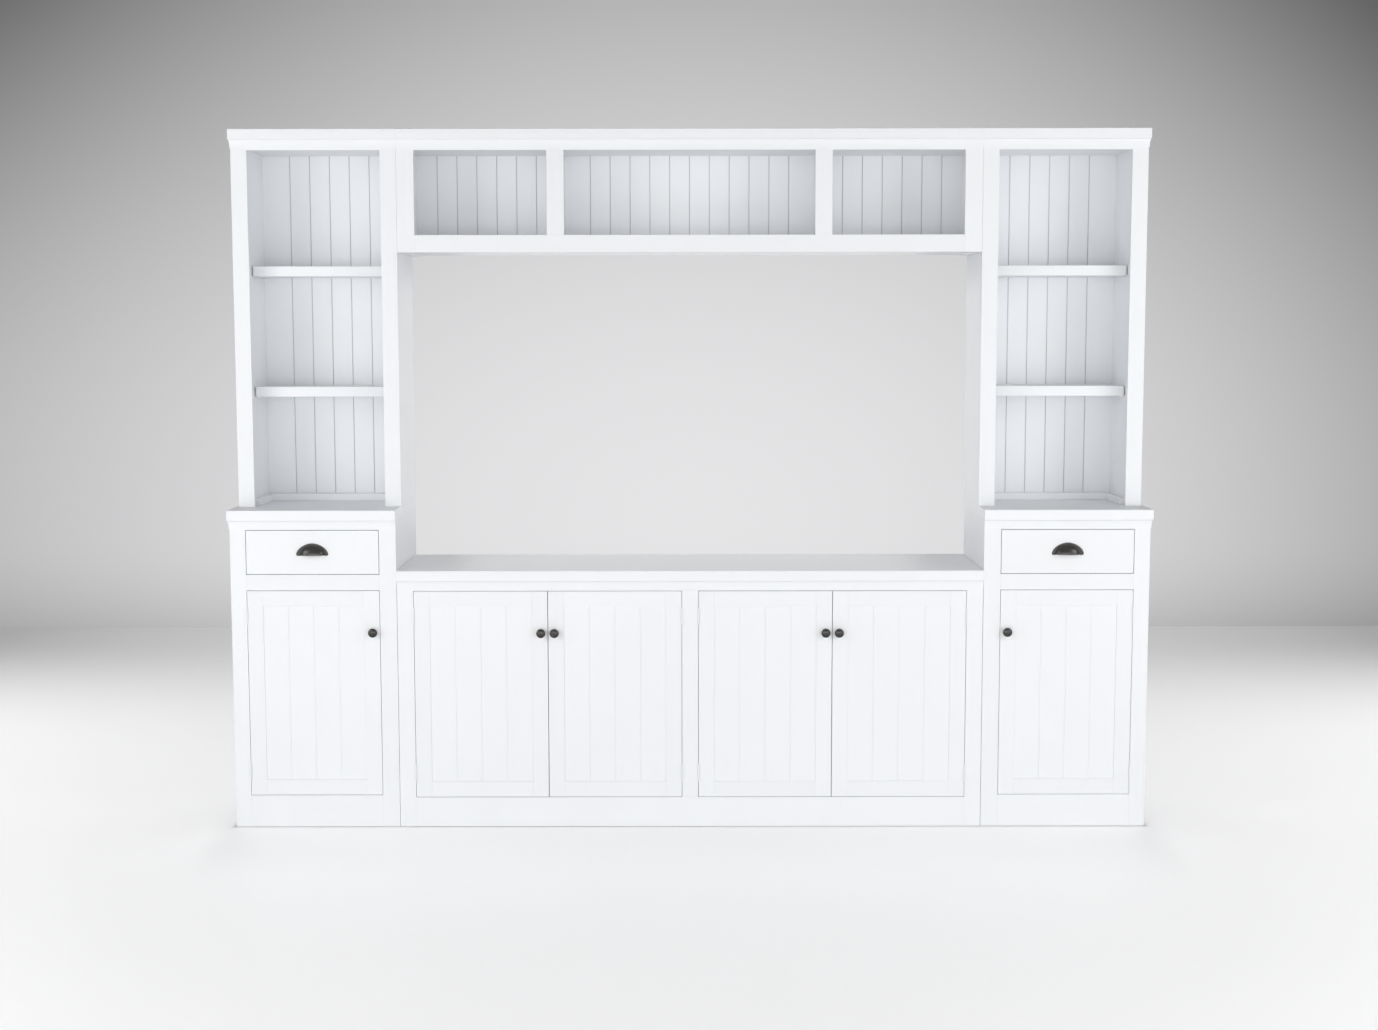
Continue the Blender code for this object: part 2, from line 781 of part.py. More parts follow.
def media_carcass(x, bays):
    """Make the media base's carcass, back and two shelves."""
    carcass = base_carcass("media_base_carcass", x, media_slab_under - touch_gap)
    y = through((carcass_front, wall))
    floor_under = media_bottom_rail - base_floor_thickness
    ceiling_under = media_slab_under - base_stretcher_thickness
    for number, bay in enumerate(bays):
        cut_box(carcass, f"toe_space_{number}", bay, y, (-cut_overrun, floor_under))
        cut_box(carcass, f"door_space_{number}", bay, y, (media_bottom_rail, ceiling_under))
    back = fit_base_back(carcass, "media_base_back", x, media_bottom_rail, media_slab_under)
    port_z = media_bottom_rail + (media_opening_top - media_bottom_rail) * port_height_share
    ports = bmesh.new()
    for side, bay in zip(side_names, bays):
        middle = sum(bay) / 2
        add_cylinder(ports, port_radius, "Y", (middle, wall, port_z), -cut_overrun, cut_overrun, port_steps)
        add_door_stop(carcass, middle, media_opening_top, ceiling_under)
        shelf_in_base(carcass, f"media_shelf_{side_names[side]}", bay, (media_bottom_rail, ceiling_under))
    shape_with(back, "cable_ports", ports, "DIFFERENCE")


def tower_door(side):
    """Hang one tower door on its outer stile."""
    hinge_x = side * (tower_opening_outer - door_gap / 2)
    width = tower_opening_outer - tower_opening_inner - 2 * door_gap
    z = (tower_bottom_rail + door_gap, tower_door_top - door_gap)
    door(side_names[side] + "_tower_door", hinge_x, -side, width, z)


def cut_bolt_hole(obj, side):
    """Bore a case for the bolt between a tower and the bridge."""
    bm = bmesh.new()
    place = (side * hutch_inner, hutch_front + bolt_setback, ceiling - bolt_drop)
    reach = hutch_side_thickness + cut_overrun
    add_cylinder(bm, bolt_shank_radius + touch_gap, "X", place, -reach, reach, bolt_steps)
    shape_with(obj, f"{side_names[side]}_bolt_hole", bm, "DIFFERENCE")


def bridge_bolt(side):
    """Make the bolt that joins a tower to the bridge, with its two heads."""
    bm = bmesh.new()
    place = (side * hutch_inner, hutch_front + bolt_setback, ceiling - bolt_drop)
    bridge_face = -touch_gap - bridge_end_thickness - touch_gap
    tower_face = hutch_side_thickness + touch_gap
    head, shank = bolt_head_radius, bolt_shank_radius
    profile = (
        (head, bridge_face - bolt_head_thickness),
        (head, bridge_face),
        (shank, bridge_face),
        (shank, tower_face),
        (head, tower_face),
        (head, tower_face + bolt_head_thickness),
    )
    profile = [(radius, side * along) for radius, along in profile]
    add_turned(bm, profile, "X", place, bolt_steps)
    smooth_rounds(piece(side_names[side] + "_bridge_bolt", bm, "steel", origin=place))


def rounded_shelf(name, x, y, z):
    """Make a hutch shelf whose two front corners are rounded."""
    radius = hutch_shelf_corner_radius
    outline = [(x[1], y[1]), (x[0], y[1])]
    for corner_x, start in ((x[0] + radius, math.pi), (x[1] - radius, 3 * math.pi / 2)):
        for step in range(slab_edge_steps + 1):
            turn = start + math.pi / 2 * step / slab_edge_steps
            outline.append((corner_x + radius * math.cos(turn), y[0] + radius + radius * math.sin(turn)))
    bm = bmesh.new()
    add_prism(bm, outline, z)
    ease_edges(piece(name, bm, "white_paint"), eased_edge)


def hutch_case(name, x, inner_x, inner_side):
    """Make a hutch case: two sides, a top and two rear rails in one body."""
    bm = bmesh.new()
    add_box(bm, x, (case_front, wall), (hutch_foot, cornice_under - touch_gap))
    case = piece(name, bm, "white_paint")
    below = hutch_foot - cut_overrun
    rear = board_rear + touch_gap
    cut_box(case, "inside", inner_x, (case_front - cut_overrun, rear), (below, ceiling))
    recess_z = (hutch_foot + rear_rail_height, ceiling - rear_rail_height)
    cut_box(case, "rear_recess", inner_x, (board_front, wall + cut_overrun), recess_z)
    seat_y = (board_front - touch_gap, rear)
    cut_box(case, "back_seat", grown(inner_x, back_seat), seat_y, (below, ceiling + back_seat_rise))
    cut_bolt_hole(case, inner_side)
    return case


def hutch(side):
    """Make one open hutch: case, frame, grooved back, shelves, cleat and cornice."""
    name = side_names[side] + "_hutch"
    x = sided(side, hutch_inner, hutch_outer)
    inner_x = grown(x, -hutch_side_thickness)
    case = hutch_case(name + "_case", x, inner_x, side)
    opening = sided(side, hutch_opening_inner, hutch_opening_outer)
    framed_openings(name + "_face_frame", x, hutch_front, (hutch_foot, cornice_under - touch_gap),
                    ((opening, (hutch_foot - cut_overrun, opening_top)),))
    grooves = grooves_across(inner_x)
    board_x = grown(inner_x, back_seat - touch_gap)
    board_z = (hutch_foot, ceiling + back_seat_rise - touch_gap)
    sizes = (back_groove_width, back_groove_depth)
    grooved_board(name + "_back", board_x, (board_front, board_rear), board_z, grooves, sizes)
    shelf_y = (hutch_front + hutch_shelf_setback, board_front - touch_gap - touch_gap)
    pins = bmesh.new()
    for label, top in (("upper", upper_shelf_top), ("lower", lower_shelf_top)):
        under = top - hutch_shelf_thickness
        rounded_shelf(f"{name}_{label}_shelf", grown(inner_x, -shelf_end_gap), shelf_y, (under, top))
        pins_under_shelf(pins, inner_x, shelf_y, under)
    shape_with(case, "shelf_pins", pins, "UNION")
    foot_cleat(name + "_cleat", inner_x)
    left_over, right_over = (side_overhang, 0) if side < 0 else (0, side_overhang)
    moulded_top(name + "_cornice", x, hutch_front, unit_height, left_over, right_over, wall)


def foot_cleat(name, inner_x):
    """Make the low cleat round the foot of a hutch's back and sides."""
    x = grown(inner_x, -touch_gap)
    y = (case_front + cleat_front_setback, board_front - touch_gap)
    outline = (
        (x[0], y[0]),
        (x[0] + cleat_side_width, y[0]),
        (x[0] + cleat_side_width, y[1] - cleat_back_width),
        (x[1] - cleat_side_width, y[1] - cleat_back_width),
        (x[1] - cleat_side_width, y[0]),
        (x[1], y[0]),
        (x[1], y[1]),
        (x[0], y[1]),
    )
    bm = bmesh.new()
    add_prism(bm, outline, (hutch_foot, hutch_foot + cleat_height))
    ease_edges(piece(name, bm, "white_paint"), eased_edge)


def cubby_limits(end, partition):
    """Give the X limits of the three cubbies, for walls of the given widths."""
    near = bridge_partition_place - partition / 2
    far = bridge_partition_place + partition / 2
    outer = bridge_half - end
    return ((-outer, -far), (-near, near), (far, outer))


def bridge_case():
    """Make the bridge's case: ends, partitions, floor, top and a rear rail."""
    x = (-bridge_half, bridge_half)
    bm = bmesh.new()
    add_box(bm, x, (case_front, wall), (bridge_bottom, cornice_under - touch_gap))
    case = piece("bridge_case", bm, "white_paint")
    rear = board_rear + touch_gap
    cubbies = cubby_limits(bridge_end_thickness, bridge_partition_thickness)
    for number, limits in enumerate(cubbies):
        cut_box(case, f"cubby_{number}", limits, (case_front - cut_overrun, rear), (bridge_floor, ceiling))
    inner_x = grown(x, -bridge_end_thickness)
    recess_z = (bridge_floor, ceiling - rear_rail_height)
    cut_box(case, "rear_recess", inner_x, (board_front, wall + cut_overrun), recess_z)
    under_z = (bridge_bottom - cut_overrun, bridge_floor - bridge_floor_thickness)
    cut_box(case, "under_floor", inner_x, through((case_front, wall)), under_z)
    seat_z = grown((bridge_floor, ceiling), back_seat_rise)
    cut_box(case, "back_seat", grown(inner_x, back_seat), (board_front - touch_gap, rear), seat_z)
    for side in side_names:
        cut_bolt_hole(case, side)
    return cubbies


def bridge():
    """Make the bridge of three cubbies between the towers."""
    cubbies = bridge_case()
    x = (-bridge_half, bridge_half)
    openings = [(limits, (bridge_floor, opening_top))
                for limits in cubby_limits(bridge_end_stile, bridge_partition_stile)]
    framed_openings("bridge_face_frame", x, hutch_front, (bridge_bottom, cornice_under - touch_gap), openings)
    grooves = [place for limits in cubbies for place in grooves_across(limits)]
    board_x = grown(x, back_seat - bridge_end_thickness - touch_gap)
    board_z = grown((bridge_floor, ceiling), back_seat_rise - touch_gap)
    sizes = (back_groove_width, back_groove_depth)
    grooved_board("bridge_back", board_x, (board_front, board_rear), board_z, grooves, sizes)
    moulded_top("bridge_cornice", x, hutch_front, unit_height, 0, 0, wall)


def main():
    """Build the wall unit."""
    clear_scene()
    for side in side_names:
        tower_base(side)
        tower_door(side)
        drawer(side)
        hutch(side)
        bridge_bolt(side)
    media_base()
    bridge()


main()
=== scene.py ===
"""Looks of the painted wall unit: two towers, a low media base and a bridge of cubbies.

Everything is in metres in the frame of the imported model: X along the wall, Y back towards it, Z up.
"""

import json
import math

import bmesh
import bpy
from bpy.props import FloatProperty, FloatVectorProperty, IntProperty, PointerProperty
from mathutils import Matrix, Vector


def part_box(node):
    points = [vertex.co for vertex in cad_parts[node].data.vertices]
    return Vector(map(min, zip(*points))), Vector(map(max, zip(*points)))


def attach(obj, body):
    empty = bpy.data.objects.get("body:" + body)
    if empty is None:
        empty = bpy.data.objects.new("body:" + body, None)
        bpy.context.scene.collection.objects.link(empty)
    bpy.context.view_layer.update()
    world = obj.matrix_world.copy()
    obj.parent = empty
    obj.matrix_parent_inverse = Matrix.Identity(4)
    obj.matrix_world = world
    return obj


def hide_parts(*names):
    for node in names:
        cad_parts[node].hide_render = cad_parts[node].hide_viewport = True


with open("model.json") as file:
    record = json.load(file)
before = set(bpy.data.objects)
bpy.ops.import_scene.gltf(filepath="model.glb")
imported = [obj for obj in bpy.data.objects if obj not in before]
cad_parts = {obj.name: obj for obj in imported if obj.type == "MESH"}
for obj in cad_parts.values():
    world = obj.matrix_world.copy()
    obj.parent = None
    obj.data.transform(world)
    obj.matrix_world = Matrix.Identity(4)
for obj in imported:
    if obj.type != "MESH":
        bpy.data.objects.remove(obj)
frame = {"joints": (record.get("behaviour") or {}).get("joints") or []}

bl_info = {
    "name": "Painted Wall Unit",
    "version": (1, 0, 0),
    "blender": (4, 5, 0),
    "location": "View3D > Sidebar > Wall Unit",
    "description": "Dresses a painted wall unit with boards, ironware, joinery and a plain studio",
    "category": "Object",
}

CABINET = "cabinet"
SIDES = {"left": -1, "right": 1}
HINGE_PLACES = {joint["child"]: joint["pos_m"][0] for joint in frame["joints"] if joint["type"] == "hinge"}
DOORS = tuple(HINGE_PLACES)

# Sizes that the solids share
DOOR_GAP = 0.0012
DRAWER_GAP = 0.0015
TOUCH_GAP = 0.0003
BASE_BOARD = 0.019
MEDIA_PARTITION = 0.025
HUTCH_SIDE = 0.038
BRIDGE_WALL = 0.027
BRIDGE_FLOOR = 0.0485
REAR_RAIL = 0.070
HUTCH_STILE = 0.049
TOP_RAIL = 0.032
BRIDGE_STILES = (0.053, 0.052)
BRIDGE_BOTTOM_RAIL = 0.0525
CEILING_LIFT = 0.0065
PARTITION_SHARE = 0.4583
SLAB = 0.032
COVE = 0.026
COVE_FOOT = 0.2
SIDE_OVERHANG = 0.006
FRONT_OVERHANG = 0.008
DOOR_MEMBER = 0.048
STOP_DROP = 0.012
STOP_DEPTH = 0.016
STOP_WIDTH = 0.080
PIN_INSET = 0.035
PIN_RADIUS = 0.003
HINGE_END = 0.076
HINGE_LENGTH = 0.050
KNUCKLE = 0.0024
HINGE_PIN = 0.0011
AXIS_REACH = 0.003
GUIDE_HEIGHT = 0.030
PORT_RADIUS = 0.030
DRAWER_BOARD = 0.012
DRAWER_BOTTOM = (0.008, 0.014)
PULL_DOME = (0.0395, 0.0345)
PULL_WALL = 0.0022
PULL_PLATE = 0.0022
PULL_CORNER = 0.005
PULL_LIP = 0.0022
DOME_POWER = 0.87
PLATE_POWER = 1.14


def grown(limits, amount):
    """Move both limits of a pair outwards."""
    return (limits[0] - amount, limits[1] + amount)


def node_limits(name):
    """Give the X, Y and Z limits of a solid."""
    low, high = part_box(name)
    return tuple((low[axis], high[axis]) for axis in range(3))


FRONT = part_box("left_drawer_front")[0].y
FRAME_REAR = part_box("left_drawer_front")[1].y
CARCASS_FRONT = FRAME_REAR + TOUCH_GAP
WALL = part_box("left_base_carcass")[1].y
HUTCH_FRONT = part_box("left_hutch_face_frame")[0].y
CASE_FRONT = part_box("left_hutch_case")[0].y
BOARD_FRONT, BOARD_REAR = node_limits("left_hutch_back")[1]
CASE_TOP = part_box("left_hutch_case")[1].z
OPENING_TOP = CASE_TOP + TOUCH_GAP - TOP_RAIL
CEILING = OPENING_TOP + CEILING_LIFT
AXIS_Y = FRONT - AXIS_REACH


class PaintSettings(bpy.types.PropertyGroup):
    """The white paint of the case work."""

    colour: FloatVectorProperty(
        name="Paint colour", description="Colour of the paint", subtype="COLOR",
        size=3, min=0, max=1, default=(0.892, 0.907, 0.928))
    roughness: FloatProperty(
        name="Sheen", description="Roughness of the dry paint", subtype="FACTOR",
        min=0, max=1, default=0.42)
    # Painted shade at the bottom of the grooves, for the open backs and for the doors
    groove_shade: FloatProperty(
        name="Groove shade", description="Tone of the paint at the bottom of the grooves of the open backs",
        subtype="FACTOR", min=0, max=1, default=0.62)
    door_groove_shade: FloatProperty(
        name="Door groove shade", description="Tone of the paint at the bottom of the grooves of the doors",
        subtype="FACTOR", min=0, max=1, default=0.94)


class BoardSettings(bpy.types.PropertyGroup):
    """The boards of the cases, doors and backs."""

    edge_radius: FloatProperty(
        name="Edge radius", description="Radius of the sanded edges of boards", unit="LENGTH",
        min=0.0001, max=0.003, default=0.0009)
    slab_radius: FloatProperty(
        name="Top edge radius", description="Radius of the upper edge of tops and cornices", unit="LENGTH",
        min=0.0005, max=0.01, default=0.003)
    back_board: FloatProperty(
        name="Back board", description="Width of one board of the open backs", unit="LENGTH",
        min=0.02, max=0.2, default=0.0628)
    groove_width: FloatProperty(
        name="Groove width", description="Width of the grooves between boards", unit="LENGTH",
        min=0.001, max=0.01, default=0.004)
    groove_depth: FloatProperty(
        name="Groove depth", description="Depth of the grooves between boards", unit="LENGTH",
        min=0.0005, max=0.006, default=0.0025)
    door_groove_width: FloatProperty(
        name="Door groove width", description="Width of the grooves in the panels of the doors", unit="LENGTH",
        min=0.001, max=0.01, default=0.0034)
    door_groove_depth: FloatProperty(
        name="Door groove depth", description="Depth of the grooves in the panels of the doors", unit="LENGTH",
        min=0.0003, max=0.006, default=0.0013)
    door_boards: IntProperty(
        name="Door boards", description="Boards across the panel of a door", min=1, max=10, default=4)


class HardwareSettings(bpy.types.PropertyGroup):
    """Knobs, cup pulls, hinges, bolts and screws."""

    iron_colour: FloatVectorProperty(
        name="Iron colour", description="Colour of the knobs and pulls", subtype="COLOR",
        size=3, min=0, max=1, default=(0.020, 0.018, 0.017))
    iron_roughness: FloatProperty(
        name="Iron roughness", description="Roughness of the knobs and pulls", subtype="FACTOR",
        min=0, max=1, default=0.19)
    turning_steps: IntProperty(
        name="Turning steps", description="Faces round a knob", min=12, max=128, default=48)
    lip_radius: FloatProperty(
        name="Pull lip", description="Radius of the rolled lip of a cup pull", unit="LENGTH",
        min=0.0003, max=0.003, default=0.0012)
    leaf_thickness: FloatProperty(
        name="Hinge leaf", description="Thickness of a hinge leaf", unit="LENGTH",
        min=0.0001, max=0.0005, default=0.0004)
    screw_radius: FloatProperty(
        name="Screw head", description="Radius of the screw heads in the backs", unit="LENGTH",
        min=0.001, max=0.006, default=0.0034)
    screw_pitch: FloatProperty(
        name="Screw spacing", description="Distance between the screws of a back", unit="LENGTH",
        min=0.05, max=0.5, default=0.15)
    screw_seed: IntProperty(
        name="Screw seed", description="Seed of the random turn of the screws", min=0, max=999, default=7)


class DrawerSettings(bpy.types.PropertyGroup):
    """The wooden drawer boxes."""

    tails: IntProperty(
        name="Tails", description="Dovetails at each corner of a drawer", min=2, max=8, default=4)
    pin_width: FloatProperty(
        name="Pin width", description="Width of a dovetail pin at its inner end", unit="LENGTH",
        min=0.004, max=0.02, default=0.010)
    pin_neck: FloatProperty(
        name="Pin neck", description="Width of a dovetail pin at its outer end", unit="LENGTH",
        min=0.002, max=0.02, default=0.006)
    wood_colour: FloatVectorProperty(
        name="Wood colour", description="Colour of the bare wood", subtype="COLOR",
        size=3, min=0, max=1, default=(0.62, 0.46, 0.29))


class StageSettings(bpy.types.PropertyGroup):
    """The plain studio round the unit."""

    floor_colour: FloatVectorProperty(
        name="Floor colour", description="Colour of the floor", subtype="COLOR",
        size=3, min=0, max=1, default=(0.89, 0.89, 0.895))
    floor_glow: FloatProperty(
        name="Floor glow", description="How much paler the floor shows than it lights the room",
        min=0, max=1, default=0.30)
    floor_side_glow: FloatProperty(
        name="Floor side glow", description="How much of that is added a metre from the middle, as a square law",
        min=0, max=1, default=0.03)
    floor_far_glow: FloatProperty(
        name="Floor far glow", description="How much of that is added behind the unit",
        min=0, max=1, default=0.13)
    wall_place: FloatProperty(
        name="Backdrop place", description="Distance of the backdrop behind the unit", unit="LENGTH",
        min=1, max=20, default=3.7)
    wall_tone: FloatProperty(
        name="Backdrop tone", description="Shown brightness of the middle of the backdrop", subtype="FACTOR",
        min=0, max=1, default=0.894)
    wall_fall: FloatProperty(
        name="Backdrop fall-off", description="How much the backdrop darkens towards its sides", subtype="FACTOR",
        min=0, max=1, default=0.137)
    wall_rise: FloatProperty(
        name="Backdrop fall-off above", description="How much the backdrop darkens towards its top", subtype="FACTOR",
        min=0, max=1, default=0.178)
    wall_corner: FloatProperty(
        name="Backdrop corners", description="How much more the backdrop darkens in its upper corners",
        subtype="FACTOR", min=0, max=1, default=0.124)
    room_tone: FloatProperty(
        name="Room tone", description="Shown strength of the room beyond the backdrop", subtype="FACTOR",
        min=0, max=1, default=0.6)
    focal_length: FloatProperty(
        name="Focal length", description="Focal length of the lens on a 36 mm wide sensor, in millimetres",
        min=10, max=200, default=47.90)
    camera_height: FloatProperty(
        name="Camera height", description="Height of the lens above the floor", unit="LENGTH",
        min=0.1, max=4, default=1.4991)
    camera_distance: FloatProperty(
        name="Camera distance", description="Distance from the lens to the fronts of the bases", unit="LENGTH",
        min=1, max=20, default=5.5176)
    camera_pitch: FloatProperty(
        name="Camera pitch", description="Angle by which the lens looks down", subtype="ANGLE",
        min=0, max=1, default=0.0972)
    camera_roll: FloatProperty(
        name="Camera roll", description="Clockwise turn of the lens about its own axis", subtype="ANGLE",
        min=-1, max=1, default=0.0012)
    camera_aside: FloatProperty(
        name="Camera aside", description="Distance of the lens to the left of the unit's middle", unit="LENGTH",
        min=-2, max=2, default=0.0022)
    front_power: FloatProperty(
        name="Front light", description="Power of the wide lamp behind the camera", unit="POWER",
        min=0, max=5000, default=118)
    low_power: FloatProperty(
        name="Low light", description="Power of the low lamp in front of the unit", unit="POWER",
        min=0, max=5000, default=8)
    side_power: FloatProperty(
        name="Side lights", description="Power of each low lamp at the sides", unit="POWER",
        min=0, max=5000, default=23)
    high_power: FloatProperty(
        name="High side lights", description="Power of each high lamp at the sides", unit="POWER",
        min=0, max=5000, default=21.5)
    back_power: FloatProperty(
        name="Back light", description="Power of the lamp above and behind the unit", unit="POWER",
        min=0, max=5000, default=5.6)
    bay_power: FloatProperty(
        name="Bay light", description="Power of the lamp behind the open bay", unit="POWER",
        min=0, max=5000, default=3.6)
    ambient: FloatProperty(
        name="Ambient light", description="Strength of the even light from all round",
        min=0, max=2, default=0.243)


# Nodes of the finishes


def node_named(tree, kind, label, **values):
    """Add a node with a label and set its properties."""
    node = tree.nodes.new(kind)
    node.label = label
    for key, value in values.items():
        setattr(node, key, value)
    return node


def feed(tree, socket, value):
    """Link an output to a socket, or set the socket's own value."""
    if isinstance(value, bpy.types.NodeSocket):
        tree.links.new(value, socket)
    elif isinstance(value, tuple) and len(value) == 3 and socket.type == "RGBA":
        socket.default_value = (*value, 1)
    else:
        socket.default_value = value


def calculated(tree, label, operation, *values):
    """Add a sum on numbers or outputs."""
    node = node_named(tree, "ShaderNodeMath", label, operation=operation)
    for socket, value in zip(node.inputs, values):
        feed(tree, socket, value)
    return node.outputs[0]


def new_material(name):
    """Make a material with a Principled shader and give both with its tree."""
    material = bpy.data.materials.new(name)
    material.use_nodes = True
    tree = material.node_tree
    return material, tree, tree.nodes["Principled BSDF"]


def stretched_noise(tree, label, squeeze, scale, detail, roughness=0.5, distortion=0.0):
    """Add noise on object coordinates, stretched by a squeeze of each axis."""
    place = node_named(tree, "ShaderNodeTexCoord", label + " place")
    mapping = node_named(tree, "ShaderNodeMapping", label + " stretch")
    mapping.inputs["Scale"].default_value = squeeze
    noise = node_named(tree, "ShaderNodeTexNoise", label)
    noise.inputs["Scale"].default_value = scale
    noise.inputs["Detail"].default_value = detail
    noise.inputs["Roughness"].default_value = roughness
    noise.inputs["Distortion"].default_value = distortion
    tree.links.new(place.outputs["Object"], mapping.inputs["Vector"])
    tree.links.new(mapping.outputs["Vector"], noise.inputs["Vector"])
    return noise.outputs["Fac"]


def ranged(tree, label, source, low, high, start=0.3, stop=0.7):
    """Spread the middle of a value over a range."""
    node = node_named(tree, "ShaderNodeMapRange", label)
    for name, value in (("From Min", start), ("From Max", stop), ("To Min", low), ("To Max", high)):
        node.inputs[name].default_value = value
    tree.links.new(source, node.inputs["Value"])
    return node.outputs["Result"]


def risen(tree, label, source, start, stop):
    """Rise softly from 0 to 1 between two values."""
    node = node_named(tree, "ShaderNodeMapRange", label, interpolation_type="SMOOTHSTEP")
    node.inputs["From Min"].default_value = start
    node.inputs["From Max"].default_value = stop
    tree.links.new(source, node.inputs["Value"])
    return node.outputs["Result"]


def blended(tree, label, factor, first, second, kind="MIX"):
    """Mix two colours, each a value or an output."""
    node = node_named(tree, "ShaderNodeMix", label, data_type="RGBA", blend_type=kind)
    for socket, value in ((node.inputs[0], factor), (node.inputs[6], first), (node.inputs[7], second)):
        feed(tree, socket, value)
    return node.outputs[2]


def bumped(tree, label, height, strength, distance, under=None):
    """Add a bump over another bump and give its normal."""
    node = node_named(tree, "ShaderNodeBump", label)
    node.inputs["Strength"].default_value = strength
    node.inputs["Distance"].default_value = distance
    tree.links.new(height, node.inputs["Height"])
    if under:
        tree.links.new(under, node.inputs["Normal"])
    return node.outputs["Normal"]


def carried(tree, name):
    """Read a value that a piece carries on its points, 0 where it has none."""
    return node_named(tree, "ShaderNodeAttribute", name, attribute_name=name).outputs["Fac"]


def toned(colour, share):
    """Darken or lighten a colour."""
    return tuple(min(channel * share, 1) for channel in colour)


def paint_material(name, settings, along, groove_shade=0.88):
    """Make satin paint whose brush strokes run along one axis, darkened with painted shade towards the bottom of
    grooves.
    """
    material, tree, shader = new_material(name)
    squeeze = tuple(0.05 if axis == along else 1 for axis in "XYZ")
    strokes = stretched_noise(tree, "brush strokes", squeeze, 420, 3, 0.6)
    grain = stretched_noise(tree, "grain under the paint", squeeze, 140, 2, 0.7)
    cloud = stretched_noise(tree, "uneven coat", (1, 1, 1), 2.2, 2)
    peel = stretched_noise(tree, "rolled skin", (1, 1, 1), 950, 1)
    base = tuple(settings.colour)
    tone = blended(tree, "coat tone", ranged(tree, "coat amount", cloud, 0, 1), toned(base, 0.975), base)
    board = blended(tree, "board tone", carried(tree, "tone"), tone, toned(base, 0.97))
    streaks = blended(tree, "stroke tone", ranged(tree, "stroke amount", strokes, 0, 0.5), board,
                      toned(base, 0.985))
    # Painted shade: the paint darkens towards the bottom of each groove, by the depth share that the groove carries.
    shaded = blended(tree, "painted groove shade", carried(tree, "groove"), streaks, toned(base, groove_shade))
    tree.links.new(shaded, shader.inputs["Base Color"])
    rough = ranged(tree, "sheen change", strokes, settings.roughness - 0.06, settings.roughness + 0.06)
    tree.links.new(rough, shader.inputs["Roughness"])
    shader.inputs["IOR"].default_value = 1.48
    skin = bumped(tree, "skin relief", peel, 0.12, 0.0001)
    fibres = bumped(tree, "grain relief", grain, 0.10, 0.0002, skin)
    tree.links.new(bumped(tree, "stroke relief", strokes, 0.14, 0.0001, fibres), shader.inputs["Normal"])
    return material


def iron_material(name, settings):
    """Make blackened iron with a mottled skin and edges that hands have rubbed."""
    material, tree, shader = new_material(name)
    base = tuple(settings.iron_colour)
    cloud = stretched_noise(tree, "scale patches", (1, 1, 1), 180, 4, 0.6)
    pits = stretched_noise(tree, "cast skin", (1, 1, 1), 1400, 3, 0.6)
    mottle = blended(tree, "patch tone", ranged(tree, "patch amount", cloud, 0, 1), toned(base, 0.7),
                     toned(base, 1.5))
    worn = ranged(tree, "uneven rubbing", pits, 0.55, 1.0)
    rubbed = calculated(tree, "rubbed amount", "MULTIPLY", carried(tree, "rub"), worn)
    metal = blended(tree, "rubbed tone", rubbed, mottle, (0.075, 0.062, 0.052))
    tree.links.new(metal, shader.inputs["Base Color"])
    rough = ranged(tree, "skin roughness", cloud, settings.iron_roughness - 0.04, settings.iron_roughness + 0.04)
    tree.links.new(rough, shader.inputs["Roughness"])
    shader.inputs["IOR"].default_value = 1.5
    tree.links.new(bumped(tree, "skin relief", pits, 0.35, 0.0002), shader.inputs["Normal"])
    return material


def steel_material(name, colour, roughness):
    """Make plain metal with fine turned marks."""
    material, tree, shader = new_material(name)
    marks = stretched_noise(tree, "fine marks", (1, 1, 4), 900, 2)
    tone = blended(tree, "mark tone", ranged(tree, "mark amount", marks, 0, 1), toned(colour, 0.8),
                   toned(colour, 1.2))
    tree.links.new(tone, shader.inputs["Base Color"])
    tree.links.new(ranged(tree, "mark roughness", marks, roughness - 0.06, roughness + 0.08),
                   shader.inputs["Roughness"])
    shader.inputs["Metallic"].default_value = 1
    tree.links.new(bumped(tree, "mark relief", marks, 0.15, 0.0001), shader.inputs["Normal"])
    return material


def wood_material(name, colour, along, end_grain=False):
    """Make bare wood whose fibres run along one axis, or its end grain."""
    material, tree, shader = new_material(name)
    squeeze = (1, 1, 1) if end_grain else tuple(0.035 if axis == along else 1 for axis in "XYZ")
    rings = stretched_noise(tree, "growth rings", squeeze, 26, 2, 0.5, 0.6)
    fibres = stretched_noise(tree, "fibres", squeeze, 520, 4, 0.65)
    flecks = stretched_noise(tree, "flecks", squeeze, 1300, 1)
    wave = calculated(tree, "ring waves", "SINE", calculated(tree, "ring count", "MULTIPLY", rings, 55.0))
    bands = ranged(tree, "ring amount", wave, 0, 1, -1, 1)
    base = toned(colour, 0.78 if end_grain else 1)
    late = blended(tree, "late wood", bands, base, tuple(a * b for a, b in zip(base, (0.80, 0.72, 0.62))))
    dark = tuple(a * b for a, b in zip(base, (0.66, 0.58, 0.48)))
    tone = blended(tree, "fibre tone", ranged(tree, "fibre amount", fibres, 0, 0.45), late, dark)
    pale = blended(tree, "fleck tone", ranged(tree, "fleck amount", flecks, 0, 0.3), tone, toned(base, 1.15))
    tree.links.new(blended(tree, "board tone", carried(tree, "tone"), pale, toned(base, 0.86)),
                   shader.inputs["Base Color"])
    tree.links.new(ranged(tree, "fibre roughness", fibres, 0.45, 0.66), shader.inputs["Roughness"])
    relief = bumped(tree, "ring relief", bands, 0.10, 0.0003)
    tree.links.new(bumped(tree, "fibre relief", fibres, 0.30, 0.0002, relief), shader.inputs["Normal"])
    return material


